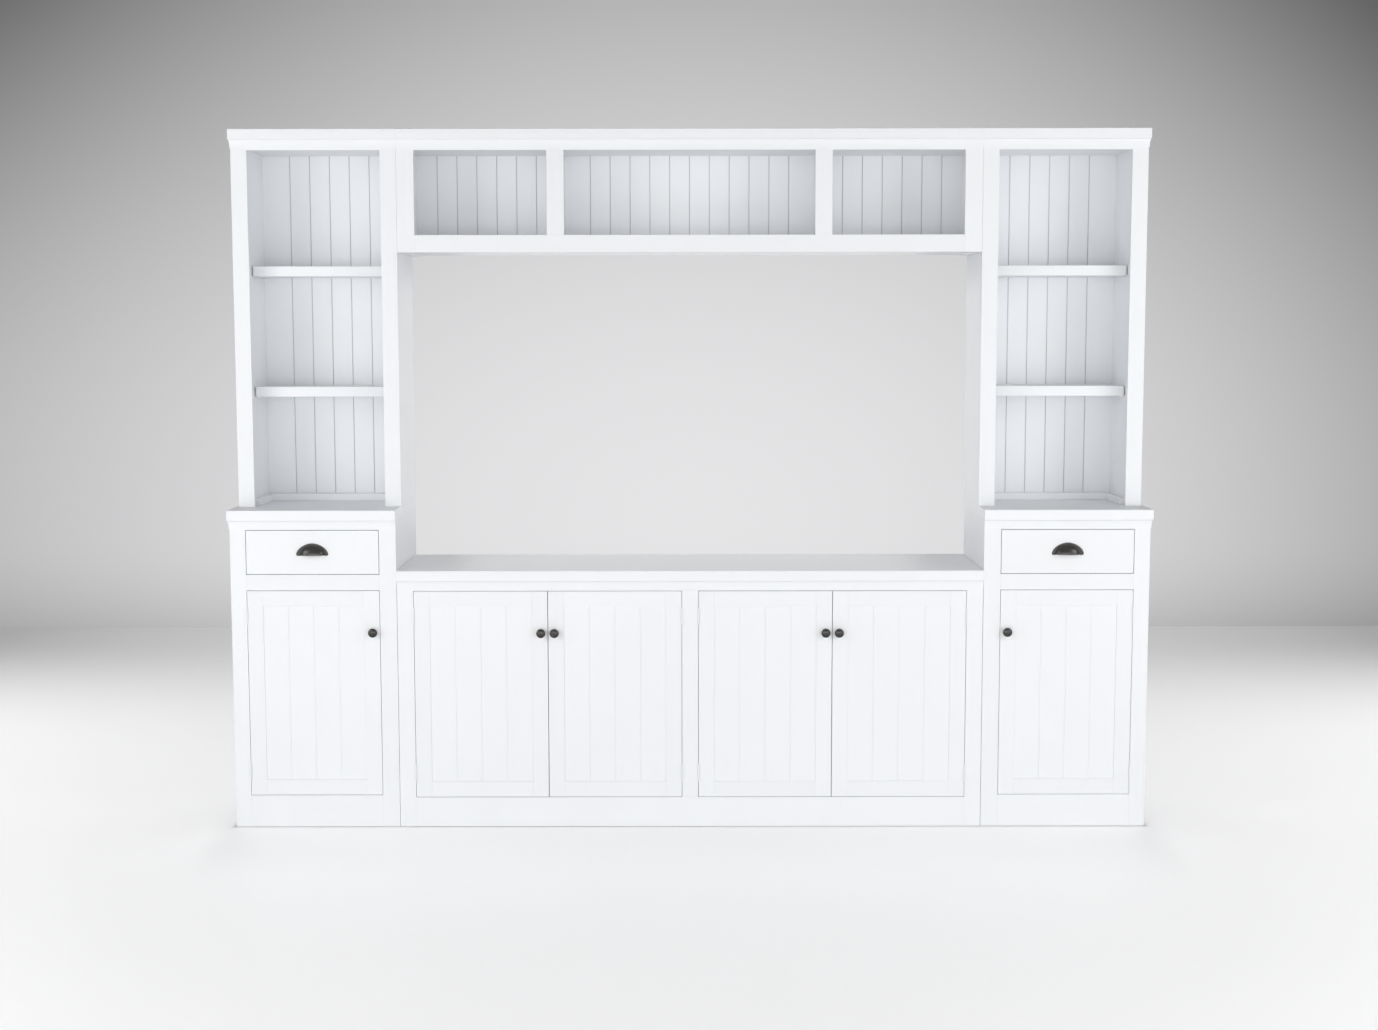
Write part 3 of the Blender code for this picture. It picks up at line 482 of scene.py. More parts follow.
def dull_material(name, colour, roughness):
    """Make a plain surface of the studio or of moulded plastic, with a little cloud in its tone."""
    material, tree, shader = new_material(name)
    cloud = stretched_noise(tree, "tone", (1, 1, 1), 3, 3)
    tree.links.new(blended(tree, "cloud tone", cloud, toned(colour, 0.985), colour), shader.inputs["Base Color"])
    grit = stretched_noise(tree, "fine skin", (1, 1, 1), 700, 2)
    tree.links.new(ranged(tree, "skin roughness", grit, roughness - 0.04, roughness + 0.04),
                   shader.inputs["Roughness"])
    return material


def seen_or_mirrored(tree):
    """Give 1 for rays that show a surface, straight or in a gloss, and 0 for those that light the room."""
    rays = node_named(tree, "ShaderNodeLightPath", "kind of ray")
    mirrored = calculated(tree, "mirrored", "MAXIMUM", rays.outputs["Is Glossy Ray"],
                          rays.outputs["Is Transmission Ray"])
    return calculated(tree, "seen or mirrored", "MAXIMUM", rays.outputs["Is Camera Ray"], mirrored)


def floor_material(name, settings):
    """Make a pale floor that shows a little paler than it lights the room, and more so at its sides, darkened by
    painted shade towards the backdrop and ahead of the unit, and without the glow under the unit.
    """
    material, tree, shader = new_material(name)
    cloud = stretched_noise(tree, "tone", (1, 1, 1), 3, 3)
    colour = tuple(settings.floor_colour)
    clouded = blended(tree, "cloud tone", cloud, toned(colour, 0.985), colour)
    shader.inputs["Roughness"].default_value = 0.6
    place = node_named(tree, "ShaderNodeTexCoord", "place").outputs["Object"]
    parts = node_named(tree, "ShaderNodeSeparateXYZ", "place parts")
    tree.links.new(place, parts.inputs[0])
    aside = calculated(tree, "aside", "MINIMUM", calculated(
        tree, "aside size", "POWER", calculated(tree, "aside share", "ABSOLUTE", parts.outputs["X"]), 2.0), 12.0)
    # Painted shade: the floor darkens towards the backdrop, and more so at its sides.
    behind = risen(tree, "behind the unit", parts.outputs["Y"], 1.0, settings.wall_place - 0.4)
    shade = calculated(tree, "far shade", "MULTIPLY", behind,
                       calculated(tree, "shade aside", "MULTIPLY_ADD", aside, 0.06, 0.27))
    shaded = blended(tree, "painted far shade", shade, clouded, toned(colour, 0.35))
    width = calculated(tree, "width", "ABSOLUTE", parts.outputs["X"])
    side = calculated(tree, "past the side", "MULTIPLY_ADD", parts.outputs["Y"], -0.38, width)
    beyond = calculated(
        tree, "beyond the picture", "MAXIMUM", risen(tree, "beyond the sides", side, 2.2, 3.2),
        risen(tree, "before the picture", calculated(tree, "forward", "MULTIPLY", parts.outputs["Y"], -1.0), 1.9, 3.0))
    seen = seen_or_mirrored(tree)
    duller = blended(tree, "tone beyond the picture", calculated(tree, "seen beyond", "MULTIPLY", beyond, seen),
                     shaded, toned(colour, 0.93))
    tree.links.new(duller, shader.inputs["Base Color"])
    tree.links.new(shaded, shader.inputs["Emission Color"])
    farther = calculated(tree, "paler far off", "MULTIPLY_ADD", risen(tree, "far off", parts.outputs["Y"], -1.5, 1.0),
                         settings.floor_far_glow, settings.floor_glow)
    paler = calculated(tree, "paler", "MULTIPLY_ADD", aside, settings.floor_side_glow, farther)
    kept = calculated(tree, "in the picture", "SUBTRACT", 1.0, beyond)
    paler = calculated(tree, "paler all round", "MULTIPLY_ADD", beyond, 0.2, calculated(
        tree, "paler in the picture", "MULTIPLY", paler, kept))
    half = -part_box("left_base_carcass")[0].x
    # Painted shade: the glow of the floor fades in a strip ahead of the unit, across its width, and is taken away
    # under it.
    ahead = calculated(tree, "painted shade ahead of the unit", "MULTIPLY", risen(tree, "towards the unit", parts.outputs["Y"], -0.85, FRONT),
                       calculated(tree, "within the ends", "SUBTRACT", 1.0, risen(tree, "past the ends", width, half - 0.04, half + 0.08)))
    under = calculated(tree, "under the unit", "MULTIPLY", calculated(
        tree, "between front and back", "SUBTRACT", risen(tree, "past the front", parts.outputs["Y"], FRONT - 0.02, FRONT),
        risen(tree, "past the back", parts.outputs["Y"], WALL - 0.02, WALL)),
        calculated(tree, "between the ends", "SUBTRACT", 1.0, risen(tree, "at the ends", width, half, half + 0.02)))
    paler = calculated(tree, "paler but ahead", "MULTIPLY_ADD", ahead, -0.14, paler)
    paler = calculated(tree, "paler but under", "MULTIPLY", paler, calculated(tree, "not under", "SUBTRACT", 1.0, under))
    tree.links.new(calculated(tree, "shown paler", "MULTIPLY", paler, seen), shader.inputs["Emission Strength"])
    return material


def backdrop_material(name, settings):
    """Make a backdrop that glows with a soft pale tone, with painted shade towards its sides, top, corners and foot,
    and lights the room as plain white.
    """
    material = bpy.data.materials.new(name)
    material.use_nodes = True
    tree = material.node_tree
    tree.nodes.clear()
    place = node_named(tree, "ShaderNodeTexCoord", "place").outputs["Object"]
    parts = node_named(tree, "ShaderNodeSeparateXYZ", "place parts")
    tree.links.new(place, parts.inputs[0])
    share = calculated(tree, "aside share", "DIVIDE", parts.outputs["X"], 3.5)
    aside = calculated(tree, "aside", "POWER", calculated(tree, "aside size", "ABSOLUTE", share), 2.0)
    right = calculated(tree, "right", "POWER", calculated(tree, "right share", "MAXIMUM", share, 0.0), 3.0)
    lifted = calculated(tree, "above the base", "SUBTRACT", parts.outputs["Z"], 0.6)
    above = calculated(tree, "above", "POWER", calculated(tree, "above share", "MAXIMUM",
                       calculated(tree, "above part", "DIVIDE", lifted, 2.5), 0.0), 2.0)
    near_floor = calculated(tree, "near the floor", "POWER", calculated(tree, "floor part", "MAXIMUM", calculated(
        tree, "floor share", "SUBTRACT", 1.0, calculated(tree, "floor rise", "DIVIDE", parts.outputs["Z"], 0.5)),
        0.0), 2.0)
    # Painted shade: the shown tone darkens towards the sides, the top, the right, the upper corners and the floor
    # line.
    loss = calculated(tree, "loss aside", "MULTIPLY", aside, settings.wall_fall)
    for label, amount, much in (
            ("loss above", above, settings.wall_rise), ("loss at the right", right, 0.056),
            ("loss in corners", calculated(tree, "corner", "MULTIPLY", aside, above), settings.wall_corner),
            ("loss near the floor", near_floor, 0.09)):
        loss = calculated(tree, label, "MULTIPLY_ADD", amount, much, loss)
    left_tone = calculated(tree, "left tone", "SUBTRACT", settings.wall_tone, loss)
    beyond = calculated(
        tree, "beyond the picture", "MAXIMUM",
        risen(tree, "beyond the sides", calculated(tree, "to the side", "ABSOLUTE", parts.outputs["X"]), 3.6, 4.8),
        risen(tree, "beyond the top", parts.outputs["Z"], 3.3, 4.5))
    levelled = node_named(tree, "ShaderNodeMix", "levelled tone", data_type="FLOAT")
    for socket, value in zip(levelled.inputs[0:1] + levelled.inputs[2:4], (
            beyond, calculated(tree, "shown tone", "MAXIMUM", left_tone, 0.4), settings.room_tone ** (1 / 2.2))):
        feed(tree, socket, value)
    shown = levelled.outputs[0]
    linear = calculated(tree, "light of the tone", "POWER", shown, 2.2)
    tint = node_named(tree, "ShaderNodeCombineColor", "cool tint")
    for channel, part in (("Red", 1.0), ("Green", 0.992), ("Blue", 1.008)):
        tree.links.new(calculated(tree, channel, "MULTIPLY", linear, part), tint.inputs[channel])
    glow = node_named(tree, "ShaderNodeEmission", "shown backdrop")
    tree.links.new(tint.outputs[0], glow.inputs["Color"])
    card = node_named(tree, "ShaderNodeBsdfDiffuse", "card")
    card.inputs["Color"].default_value = (0.75, 0.75, 0.755, 1)
    mixed = node_named(tree, "ShaderNodeMixShader", "backdrop")
    tree.links.new(seen_or_mirrored(tree), mixed.inputs[0])
    tree.links.new(card.outputs[0], mixed.inputs[1])
    tree.links.new(glow.outputs[0], mixed.inputs[2])
    open_back = node_named(tree, "ShaderNodeMixShader", "open from behind")
    tree.links.new(node_named(tree, "ShaderNodeNewGeometry", "side of the card").outputs["Backfacing"],
                   open_back.inputs[0])
    tree.links.new(mixed.outputs[0], open_back.inputs[1])
    tree.links.new(node_named(tree, "ShaderNodeBsdfTransparent", "clear").outputs[0], open_back.inputs[2])
    output = node_named(tree, "ShaderNodeOutputMaterial", "surface")
    tree.links.new(open_back.outputs[0], output.inputs["Surface"])
    return material


# Shapes


def new_shape():
    """Start a shape whose points carry a tone and a rubbed amount."""
    bm = bmesh.new()
    for name in ("tone", "rub"):
        bm.verts.layers.float.new(name)
    return bm


def place_tone(limits):
    """Give each board a tone of its own that depends only on where it is."""
    return math.sin(sum(sum(pair) for pair in limits) * 91.7) ** 2


def board(bm, x, y, z, radius=None, material=0):
    """Add a board with sanded edges between three pairs of limits."""
    limits = [sorted(pair) for pair in (x, y, z)]
    radius = bpy.context.scene.wallunit_boards.edge_radius if radius is None else radius
    radius = min(radius, *(0.45 * (high - low) for low, high in limits))
    lines = [(low, low + radius, high - radius, high) for low, high in limits]
    tone = bm.verts.layers.float["tone"]
    corners = {}

    def corner(index):
        if index not in corners:
            place = Vector([line[i] for line, i in zip(lines, index)])
            core = Vector([line[min(max(i, 1), 2)] for line, i in zip(lines, index)])
            corners[index] = bm.verts.new(core + (place - core).normalized() * radius)
            corners[index][tone] = place_tone(limits)
        return corners[index]

    for axis in range(3):
        for end in (0, 3):
            for i in range(3):
                for j in range(3):
                    around = [(i, j), (i + 1, j), (i + 1, j + 1), (i, j + 1)]
                    quad = []
                    for first, second in around if end else reversed(around):
                        index = [0, 0, 0]
                        index[axis], index[(axis + 1) % 3], index[(axis + 2) % 3] = end, first, second
                        quad.append(corner(tuple(index)))
                    bm.faces.new(quad).material_index = material


def joined_rings(bm, first, second, material=0, closed=True):
    """Join two rings of points with faces, where either may be a single point."""
    count = max(len(first), len(second))
    for i in range(count if closed else count - 1):
        following = (i + 1) % count
        corners = [first[i % len(first)], first[following % len(first)]]
        corners += [second[following % len(second)], second[i % len(second)]]
        unique = list(dict.fromkeys(corners))
        if len(unique) > 2:
            bm.faces.new(unique).material_index = material


def lobed(radius, angle, lobes):
    """Give the radius of a round, six-sided or crossed ring at an angle."""
    if lobes == 6:
        turn = angle % (math.pi / 3) - math.pi / 6
        return radius * math.cos(math.pi / 6) / math.cos(turn)
    if lobes == 4:
        return radius * (0.38 + 0.62 * abs(math.cos(2 * angle)) ** 5)
    return radius


def turned(bm, profile, axis, centre, steps, hollow=False, material=0):
    """Add a turned body from (radius, distance along the axis, rubbed amount, lobes) points."""
    rub = bm.verts.layers.float["rub"]
    rings = []
    for point in profile:
        radius, along, rubbed, lobes = (*point, 0, 0)[:4]
        ring = []
        for i in range(steps if radius > 0 else 1):
            angle = 2 * math.pi * i / steps
            reach = lobed(radius, angle, lobes)
            across, aside = reach * math.cos(angle), reach * math.sin(angle)
            offset = {"X": (along, across, aside), "Y": (aside, along, across), "Z": (across, aside, along)}[axis]
            ring.append(bm.verts.new(Vector(centre) + Vector(offset)))
            ring[-1][rub] = rubbed
        rings.append(ring)
    pairs = list(zip(rings, rings[1:]))
    if hollow:
        pairs.append((rings[-1], rings[0]))
    for first, second in pairs:
        joined_rings(bm, first, second, material)
    if not hollow:
        for ring in (rings[0], rings[-1]):
            if len(ring) > 1:
                bm.faces.new(ring).material_index = material


def extruded(bm, outline, axis, limits, material=0):
    """Add a prism from an outline across an axis."""
    spread = {"X": lambda a, b, c: (c, a, b), "Y": lambda a, b, c: (a, c, b), "Z": lambda a, b, c: (a, b, c)}[axis]
    ends = [[bm.verts.new(spread(a, b, limit)) for a, b in outline] for limit in limits]
    tone = bm.verts.layers.float["tone"]
    for vert in (*ends[0], *ends[1]):
        vert[tone] = place_tone([limits, outline[0]])
    joined_rings(bm, ends[0], ends[1], material)
    for end in ends:
        bm.faces.new(end).material_index = material


def plain_object(name, mesh, materials=()):
    """Link a mesh as an object at the origin."""
    for material in materials:
        mesh.materials.append(bpy.data.materials[material])
    obj = bpy.data.objects.new(name, mesh)
    bpy.context.scene.collection.objects.link(obj)
    return obj


def mesh_of(name, bm):
    """Turn a shape into a mesh with its faces out."""
    bmesh.ops.recalc_face_normals(bm, faces=bm.faces)
    mesh = bpy.data.meshes.new(name)
    bm.to_mesh(mesh)
    bm.free()
    return mesh


def settled(obj, body, replaced=()):
    """Shade a finished piece, let it ride on its body and hide the solids it stands for."""
    obj.data.shade_smooth()
    obj.data.set_sharp_from_angle(angle=math.radians(50))
    weighting = obj.modifiers.new("face weighting", "WEIGHTED_NORMAL")
    weighting.keep_sharp = True
    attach(obj, body)
    if replaced:
        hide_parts(*replaced)
    return obj


def finished(name, bm, body, materials, replaced=()):
    """Make a finished piece from a shape."""
    return settled(plain_object(name, mesh_of(name, bm), materials), body, replaced)


# Geometry trees


def geometry_tree(name, sockets):
    """Make a geometry tree with named inputs."""
    tree = bpy.data.node_groups.new(name, "GeometryNodeTree")
    interface = tree.interface
    interface.new_socket(name="Geometry", in_out="INPUT", socket_type="NodeSocketGeometry")
    for label, kind in (*sockets, ("Material", "Material")):
        interface.new_socket(name=label, in_out="INPUT", socket_type="NodeSocket" + kind)
    interface.new_socket(name="Geometry", in_out="OUTPUT", socket_type="NodeSocketGeometry")
    given = node_named(tree, "NodeGroupInput", "sizes").outputs
    return tree, given


def geometry_node(tree, kind, label, inputs=(), **values):
    """Add a geometry node and feed its inputs by name."""
    node = node_named(tree, kind, label, **values)
    for name, value in inputs:
        feed(tree, node.inputs[name], value)
    return node


def close_tree(tree, given, geometry):
    """End a tree with real geometry in its material."""
    real = geometry_node(tree, "GeometryNodeRealizeInstances", "real pieces", (("Geometry", geometry),))
    coated = geometry_node(tree, "GeometryNodeSetMaterial", "finish", (
        ("Geometry", real.outputs[0]), ("Material", given["Material"])))
    output = node_named(tree, "NodeGroupOutput", "result")
    tree.links.new(coated.outputs[0], output.inputs[0])
    return tree


def grooved_tree():
    """Build the tree of a board with a row of rounded V grooves whose points carry their depth for the painted groove
    shade.
    """
    lengths = ("Low X", "High X", "Low Z", "Height", "Front", "Back", "First Groove", "Pitch",
               "Groove Width", "Groove Depth")
    tree, given = geometry_tree("grooved_boards", [*((name, "Float") for name in lengths), ("Grooves", "Int")])
    points = 7.0
    last = calculated(tree, "last groove point", "MULTIPLY", given["Grooves"], points)
    count = calculated(tree, "points", "ADD", last, 2.0)
    line = geometry_node(tree, "GeometryNodeMeshLine", "front line", (("Count", count),))
    index = node_named(tree, "GeometryNodeInputIndex", "point").outputs[0]
    number = calculated(tree, "groove", "FLOOR", calculated(
        tree, "groove share", "DIVIDE", calculated(tree, "after the first", "SUBTRACT", index, 1.0), points))
    step = calculated(tree, "step in groove", "SUBTRACT", calculated(
        tree, "step", "SUBTRACT", index, 1.0), calculated(tree, "steps before", "MULTIPLY", number, points))
    across = calculated(tree, "across", "DIVIDE", calculated(tree, "from the middle", "SUBTRACT", step, 3.0), 3.0)
    hollow = calculated(tree, "hollow", "MULTIPLY_ADD", calculated(
        tree, "wave", "COSINE", calculated(tree, "turn", "MULTIPLY", across, math.pi)), 0.5, 0.5)
    half = calculated(tree, "half groove", "MULTIPLY", given["Groove Width"], 0.5)
    middle = calculated(tree, "groove middle", "MULTIPLY_ADD", number, given["Pitch"], given["First Groove"])
    inside = calculated(tree, "groove point", "MULTIPLY_ADD", across, half, middle)
    is_first = calculated(tree, "is first", "LESS_THAN", index, 0.5)
    is_last = calculated(tree, "is last", "GREATER_THAN", index, calculated(tree, "before last", "ADD", last, 0.5))
    from_low = geometry_node(tree, "GeometryNodeSwitch", "first or groove", (
        ("Switch", is_first), ("False", inside), ("True", given["Low X"])), input_type="FLOAT")
    to_high = geometry_node(tree, "GeometryNodeSwitch", "last or groove", (
        ("Switch", is_last), ("False", from_low.outputs[0]), ("True", given["High X"])), input_type="FLOAT")
    deep = calculated(tree, "face", "MULTIPLY_ADD", hollow, given["Groove Depth"], given["Front"])
    place = geometry_node(tree, "ShaderNodeCombineXYZ", "front place", (
        ("X", to_high.outputs[0]), ("Y", deep), ("Z", given["Low Z"])))
    # The depth share of each groove point is kept for the painted shade at the bottom of the grooves.
    marked = geometry_node(tree, "GeometryNodeStoreNamedAttribute", "groove depth for painted shade", (
        ("Geometry", line.outputs[0]), ("Name", "groove"), ("Value", hollow)), data_type="FLOAT", domain="POINT")
    shaped = geometry_node(tree, "GeometryNodeSetPosition", "front outline", (
        ("Geometry", marked.outputs[0]), ("Position", place.outputs[0])))
    rise = geometry_node(tree, "ShaderNodeCombineXYZ", "rise", (("Z", given["Height"]),))
    upright = geometry_node(tree, "GeometryNodeExtrudeMesh", "front face", (
        ("Mesh", shaped.outputs[0]), ("Offset", rise.outputs[0])), mode="EDGES")
    depth = geometry_node(tree, "ShaderNodeCombineXYZ", "depth", (("Y", 0.001),))
    thick = geometry_node(tree, "GeometryNodeExtrudeMesh", "edges", (
        ("Mesh", upright.outputs[0]), ("Offset", depth.outputs[0])), mode="FACES")
    thick.inputs["Individual"].default_value = False
    parts = geometry_node(tree, "ShaderNodeSeparateXYZ", "place parts", (
        ("Vector", node_named(tree, "GeometryNodeInputPosition", "place").outputs[0]),))
    flat = geometry_node(tree, "ShaderNodeCombineXYZ", "back place", (
        ("X", parts.outputs["X"]), ("Y", given["Back"]), ("Z", parts.outputs["Z"])))
    backed = geometry_node(tree, "GeometryNodeSetPosition", "flat back", (
        ("Geometry", thick.outputs["Mesh"]), ("Selection", thick.outputs["Top"]), ("Position", flat.outputs[0])))
    front = geometry_node(tree, "GeometryNodeFlipFaces", "front turned out", (("Mesh", upright.outputs[0]),))
    both = geometry_node(tree, "GeometryNodeJoinGeometry", "whole board")
    tree.links.new(backed.outputs[0], both.inputs[0])
    tree.links.new(front.outputs[0], both.inputs[0])
    merged = geometry_node(tree, "GeometryNodeMergeByDistance", "closed board", (
        ("Geometry", both.outputs[0]), ("Distance", 0.00001)))
    return close_tree(tree, given, merged.outputs[0])


def copies_tree():
    """Build the tree that sets copies of a part on points, each turned to face out."""
    tree, given = geometry_tree("copies_on_points", [("Part", "Object"), ("Turn", "Float"), ("Seed", "Int")])
    info = geometry_node(tree, "GeometryNodeObjectInfo", "part", (("Object", given["Part"]),),
                         transform_space="ORIGINAL")
    facing = geometry_node(tree, "GeometryNodeInputNamedAttribute", "facing", (("Name", "facing"),),
                           data_type="FLOAT_VECTOR")
    aimed = geometry_node(tree, "FunctionNodeAlignRotationToVector", "aimed", (
        ("Vector", facing.outputs["Attribute"]),), axis="Z")
    chance = geometry_node(tree, "FunctionNodeRandomValue", "chance turn", data_type="FLOAT")
    for socket, value in zip([s for s in chance.inputs if s.enabled], (0.0, given["Turn"], None, given["Seed"])):
        if value is not None:
            feed(tree, socket, value)
    result = [socket for socket in chance.outputs if socket.enabled][0]
    spin = geometry_node(tree, "ShaderNodeCombineXYZ", "spin", (("Z", result),))
    euler = geometry_node(tree, "FunctionNodeEulerToRotation", "spin turn", (("Euler", spin.outputs[0]),))
    turned_to = geometry_node(tree, "FunctionNodeRotateRotation", "aimed and spun", (
        ("Rotation", aimed.outputs[0]), ("Rotate By", euler.outputs[0])), rotation_space="LOCAL")
    copies = geometry_node(tree, "GeometryNodeInstanceOnPoints", "copies", (
        ("Points", given["Geometry"]), ("Instance", info.outputs["Geometry"]), ("Rotation", turned_to.outputs[0])))
    return close_tree(tree, given, copies.outputs[0])


def rim_tree():
    """Build the tree of a round bead that follows a path."""
    tree, given = geometry_tree("rim_on_path", [("Radius", "Float"), ("Steps", "Int")])
    path = geometry_node(tree, "GeometryNodeMeshToCurve", "path", (("Mesh", given["Geometry"]),))
    ring = geometry_node(tree, "GeometryNodeCurvePrimitiveCircle", "bead", (
        ("Resolution", given["Steps"]), ("Radius", given["Radius"])))
    tube = geometry_node(tree, "GeometryNodeCurveToMesh", "bead on path", (
        ("Curve", path.outputs[0]), ("Profile Curve", ring.outputs[0])))
    tube.inputs["Fill Caps"].default_value = True
    return close_tree(tree, given, tube.outputs[0])


def grown_by_tree(name, mesh, tree, material, values):
    """Run a geometry tree on a mesh and keep its result as a plain mesh."""
    obj = plain_object(name, mesh)
    modifier = obj.modifiers.new(tree, "NODES")
    modifier.node_group = bpy.data.node_groups[tree]
    values = {**values, "Material": bpy.data.materials[material]}
    for item in modifier.node_group.interface.items_tree:
        if item.in_out == "INPUT" and item.name in values:
            modifier[item.identifier] = values[item.name]
    graph = bpy.context.evaluated_depsgraph_get()
    result = bpy.data.meshes.new_from_object(
        obj.evaluated_get(graph), preserve_all_data_layers=True, depsgraph=graph)
    obj.modifiers.clear()
    obj.data = result
    result.name = name
    return obj


def turned_out(obj):
    """Point the faces of a closed mesh outwards."""
    bm = bmesh.new()
    bm.from_mesh(obj.data)
    bmesh.ops.recalc_face_normals(bm, faces=bm.faces)
    bm.to_mesh(obj.data)
    bm.free()


def copies(name, part, places, body, slot, material, turn=0.0, seed=0, replaced=()):
    """Set copies of a part on (place, facing) pairs, as one piece."""
    mesh = bpy.data.meshes.new(name)
    mesh.from_pydata([place for place, _ in places], [], [])
    facing = mesh.attributes.new("facing", "FLOAT_VECTOR", "POINT")
    facing.data.foreach_set("vector", [value for _, way in places for value in way])
    source = plain_object(name + "_part", mesh_of(name + "_part", part))
    obj = grown_by_tree(name, mesh, "copies_on_points", material, {"Part": source, "Turn": turn, "Seed": seed})
    bpy.data.objects.remove(source)
    return settled(obj, body, replaced)


def grooved_board(name, x, y, z, grooves, cut, body, material, replaced):
    """Make an upright board with V grooves of one width and depth at evenly spaced places."""
    pitch = grooves[1] - grooves[0] if len(grooves) > 1 else 1.0
    values = {
        "Low X": x[0], "High X": x[1], "Low Z": z[0], "Height": z[1] - z[0], "Front": y[0], "Back": y[1],
        "First Groove": grooves[0], "Pitch": pitch, "Grooves": len(grooves),
        "Groove Width": cut[0], "Groove Depth": cut[1],
    }
    obj = grown_by_tree(name, bpy.data.meshes.new(name), "grooved_boards", material, values)
    turned_out(obj)
    return settled(obj, body, replaced)


# Case work


def face_frame(name, x, y, z, openings_x, openings_z, replaced):
    """Build a face frame of stiles, rails and mullions round a grid of openings."""
    bm = new_shape()
    bite = 0.0002
    board(bm, (x[0], openings_x[0][0]), y, z)
    board(bm, (openings_x[-1][1], x[1]), y, z)
    rail_x = grown((openings_x[0][0], openings_x[-1][1]), bite)
    heights = [z[0], *(limit for pair in openings_z for limit in pair), z[1]]
    for low, high in zip(heights[::2], heights[1::2]):
        if high > low:
            board(bm, rail_x, y, (low, high), material=1)
    for first, second in zip(openings_x, openings_x[1:]):
        for pair in openings_z:
            board(bm, (first[1], second[0]), y, grown(pair, bite))
    return finished(name, bm, CABINET, ("white_paint_upright", "white_paint_level"), replaced)


def shelf_pin_places(shelf, inner_x):
    """List the four pins under a shelf as (place, facing) pairs."""
    _, y, z = node_limits(shelf)
    height = z[0] - TOUCH_GAP - PIN_RADIUS
    return [((face, place, height), (inward, 0, 0))
            for face, inward in ((inner_x[0], 1), (inner_x[1], -1))
            for place in (y[0] + PIN_INSET, y[1] - PIN_INSET)]


def tower_opening(side):
    """Give the X limits of a tower base's openings."""
    return grown(node_limits(f"{side}_drawer_front")[0], DRAWER_GAP)


def door_plan(name):
    """Give a door's X limits, Z limits, hinge place and the way from hinge to knob."""
    x, _, z = node_limits(name + "_frame")
    hinge = HINGE_PLACES[name]
    toward = 1 if abs(x[1] - hinge) > abs(x[0] - hinge) else -1
    near = hinge + toward * DOOR_GAP / 2
    far = x[1] if toward > 0 else x[0]
    return tuple(sorted((near, far))), z, hinge, toward


def tower_case(side):
    """Build the boards of one tower base."""
    name = f"{side}_base_carcass"
    x, _, z = node_limits(name)
    inner = grown(x, -BASE_BOARD)
    door_z = grown(door_plan(f"{side}_tower_door")[1], DOOR_GAP)
    drawer_z = grown(node_limits(f"{side}_drawer_front")[2], DRAWER_GAP)
    opening = tower_opening(side)
    y = (CARCASS_FRONT, WALL)
    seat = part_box(f"{side}_base_back")[0].y - TOUCH_GAP
    bm = new_shape()
    for limits in ((x[0], inner[0]), (inner[1], x[1])):
        board(bm, limits, y, z)
    board(bm, inner, (y[0], seat), (door_z[0] - BASE_BOARD, door_z[0]), material=1)
    board(bm, inner, (y[0], seat), (drawer_z[0] - BASE_BOARD, drawer_z[0]), material=1)
    board(bm, inner, (y[0], WALL), (z[1] + TOUCH_GAP - BASE_BOARD, z[1]), material=1)
    way = grown(opening, -0.0052)
    for limits in ((inner[0], way[0]), (way[1], inner[1])):
        board(bm, limits, (y[0], seat), (drawer_z[0], drawer_z[0] + GUIDE_HEIGHT), material=1)
    middle = SIDES[side] * (min(abs(limit) for limit in opening) + STOP_WIDTH)
    stop_x = (middle - STOP_WIDTH / 2, middle + STOP_WIDTH / 2)
    board(bm, stop_x, (y[0], y[0] + STOP_DEPTH), (door_z[1] - STOP_DROP, drawer_z[0] - BASE_BOARD), material=1)
    paints = ("white_paint_upright", "white_paint_deep")
    finished(f"{side}_base_boards", bm, CABINET, paints, (name,))
    frame_x, _, frame_z = node_limits(f"{side}_base_face_frame")
    face_frame(f"{side}_base_front_frame", x, (FRONT, FRAME_REAR), frame_z, [opening], [door_z, drawer_z],
               (f"{side}_base_face_frame",))


def media_bays():
    """Give the X limits of the two bays of the media base."""
    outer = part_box("media_base_carcass")[1].x - BASE_BOARD
    inner = MEDIA_PARTITION / 2
    return {"left": (-outer, -inner), "right": (inner, outer)}


def media_case():
    """Build the boards and the front frame of the media base."""
    x, _, z = node_limits("media_base_carcass")
    plans = {name: door_plan(name) for name in DOORS if name.startswith("media")}
    door_z = grown(plans["media_door_1"][1], DOOR_GAP)
    openings = []
    for first, second in (("media_door_1", "media_door_2"), ("media_door_3", "media_door_4")):
        openings.append((plans[first][0][0] - DOOR_GAP, plans[second][0][1] + DOOR_GAP))
    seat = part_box("media_base_back")[0].y - TOUCH_GAP
    bays = media_bays()
    y = (CARCASS_FRONT, WALL)
    bm = new_shape()
    board(bm, (x[0], bays["left"][0]), y, z)
    board(bm, (bays["right"][1], x[1]), y, z)
    board(bm, (bays["left"][1], bays["right"][0]), (y[0], seat), z)
    for side, bay in bays.items():
        board(bm, bay, (y[0], seat), (door_z[0] - BASE_BOARD, door_z[0]), material=1)
        board(bm, bay, (y[0], WALL), (z[1] + TOUCH_GAP - BASE_BOARD, z[1]), material=1)
        middle = sum(bay) / 2
        stop_x = (middle - STOP_WIDTH / 2, middle + STOP_WIDTH / 2)
        board(bm, stop_x, (y[0], y[0] + STOP_DEPTH), (door_z[1] - STOP_DROP, z[1] - BASE_BOARD), material=1)
    paints = ("white_paint_upright", "white_paint_deep")
    finished("media_base_boards", bm, CABINET, paints, ("media_base_carcass",))
    frame_z = node_limits("media_base_face_frame")[2]
    face_frame("media_base_front_frame", x, (FRONT, FRAME_REAR), frame_z, openings, [door_z],
               ("media_base_face_frame",))


def hutch_inner(side):
    """Give the X limits between the sides of a hutch."""
    return grown(node_limits(f"{side}_hutch_case")[0], -HUTCH_SIDE)


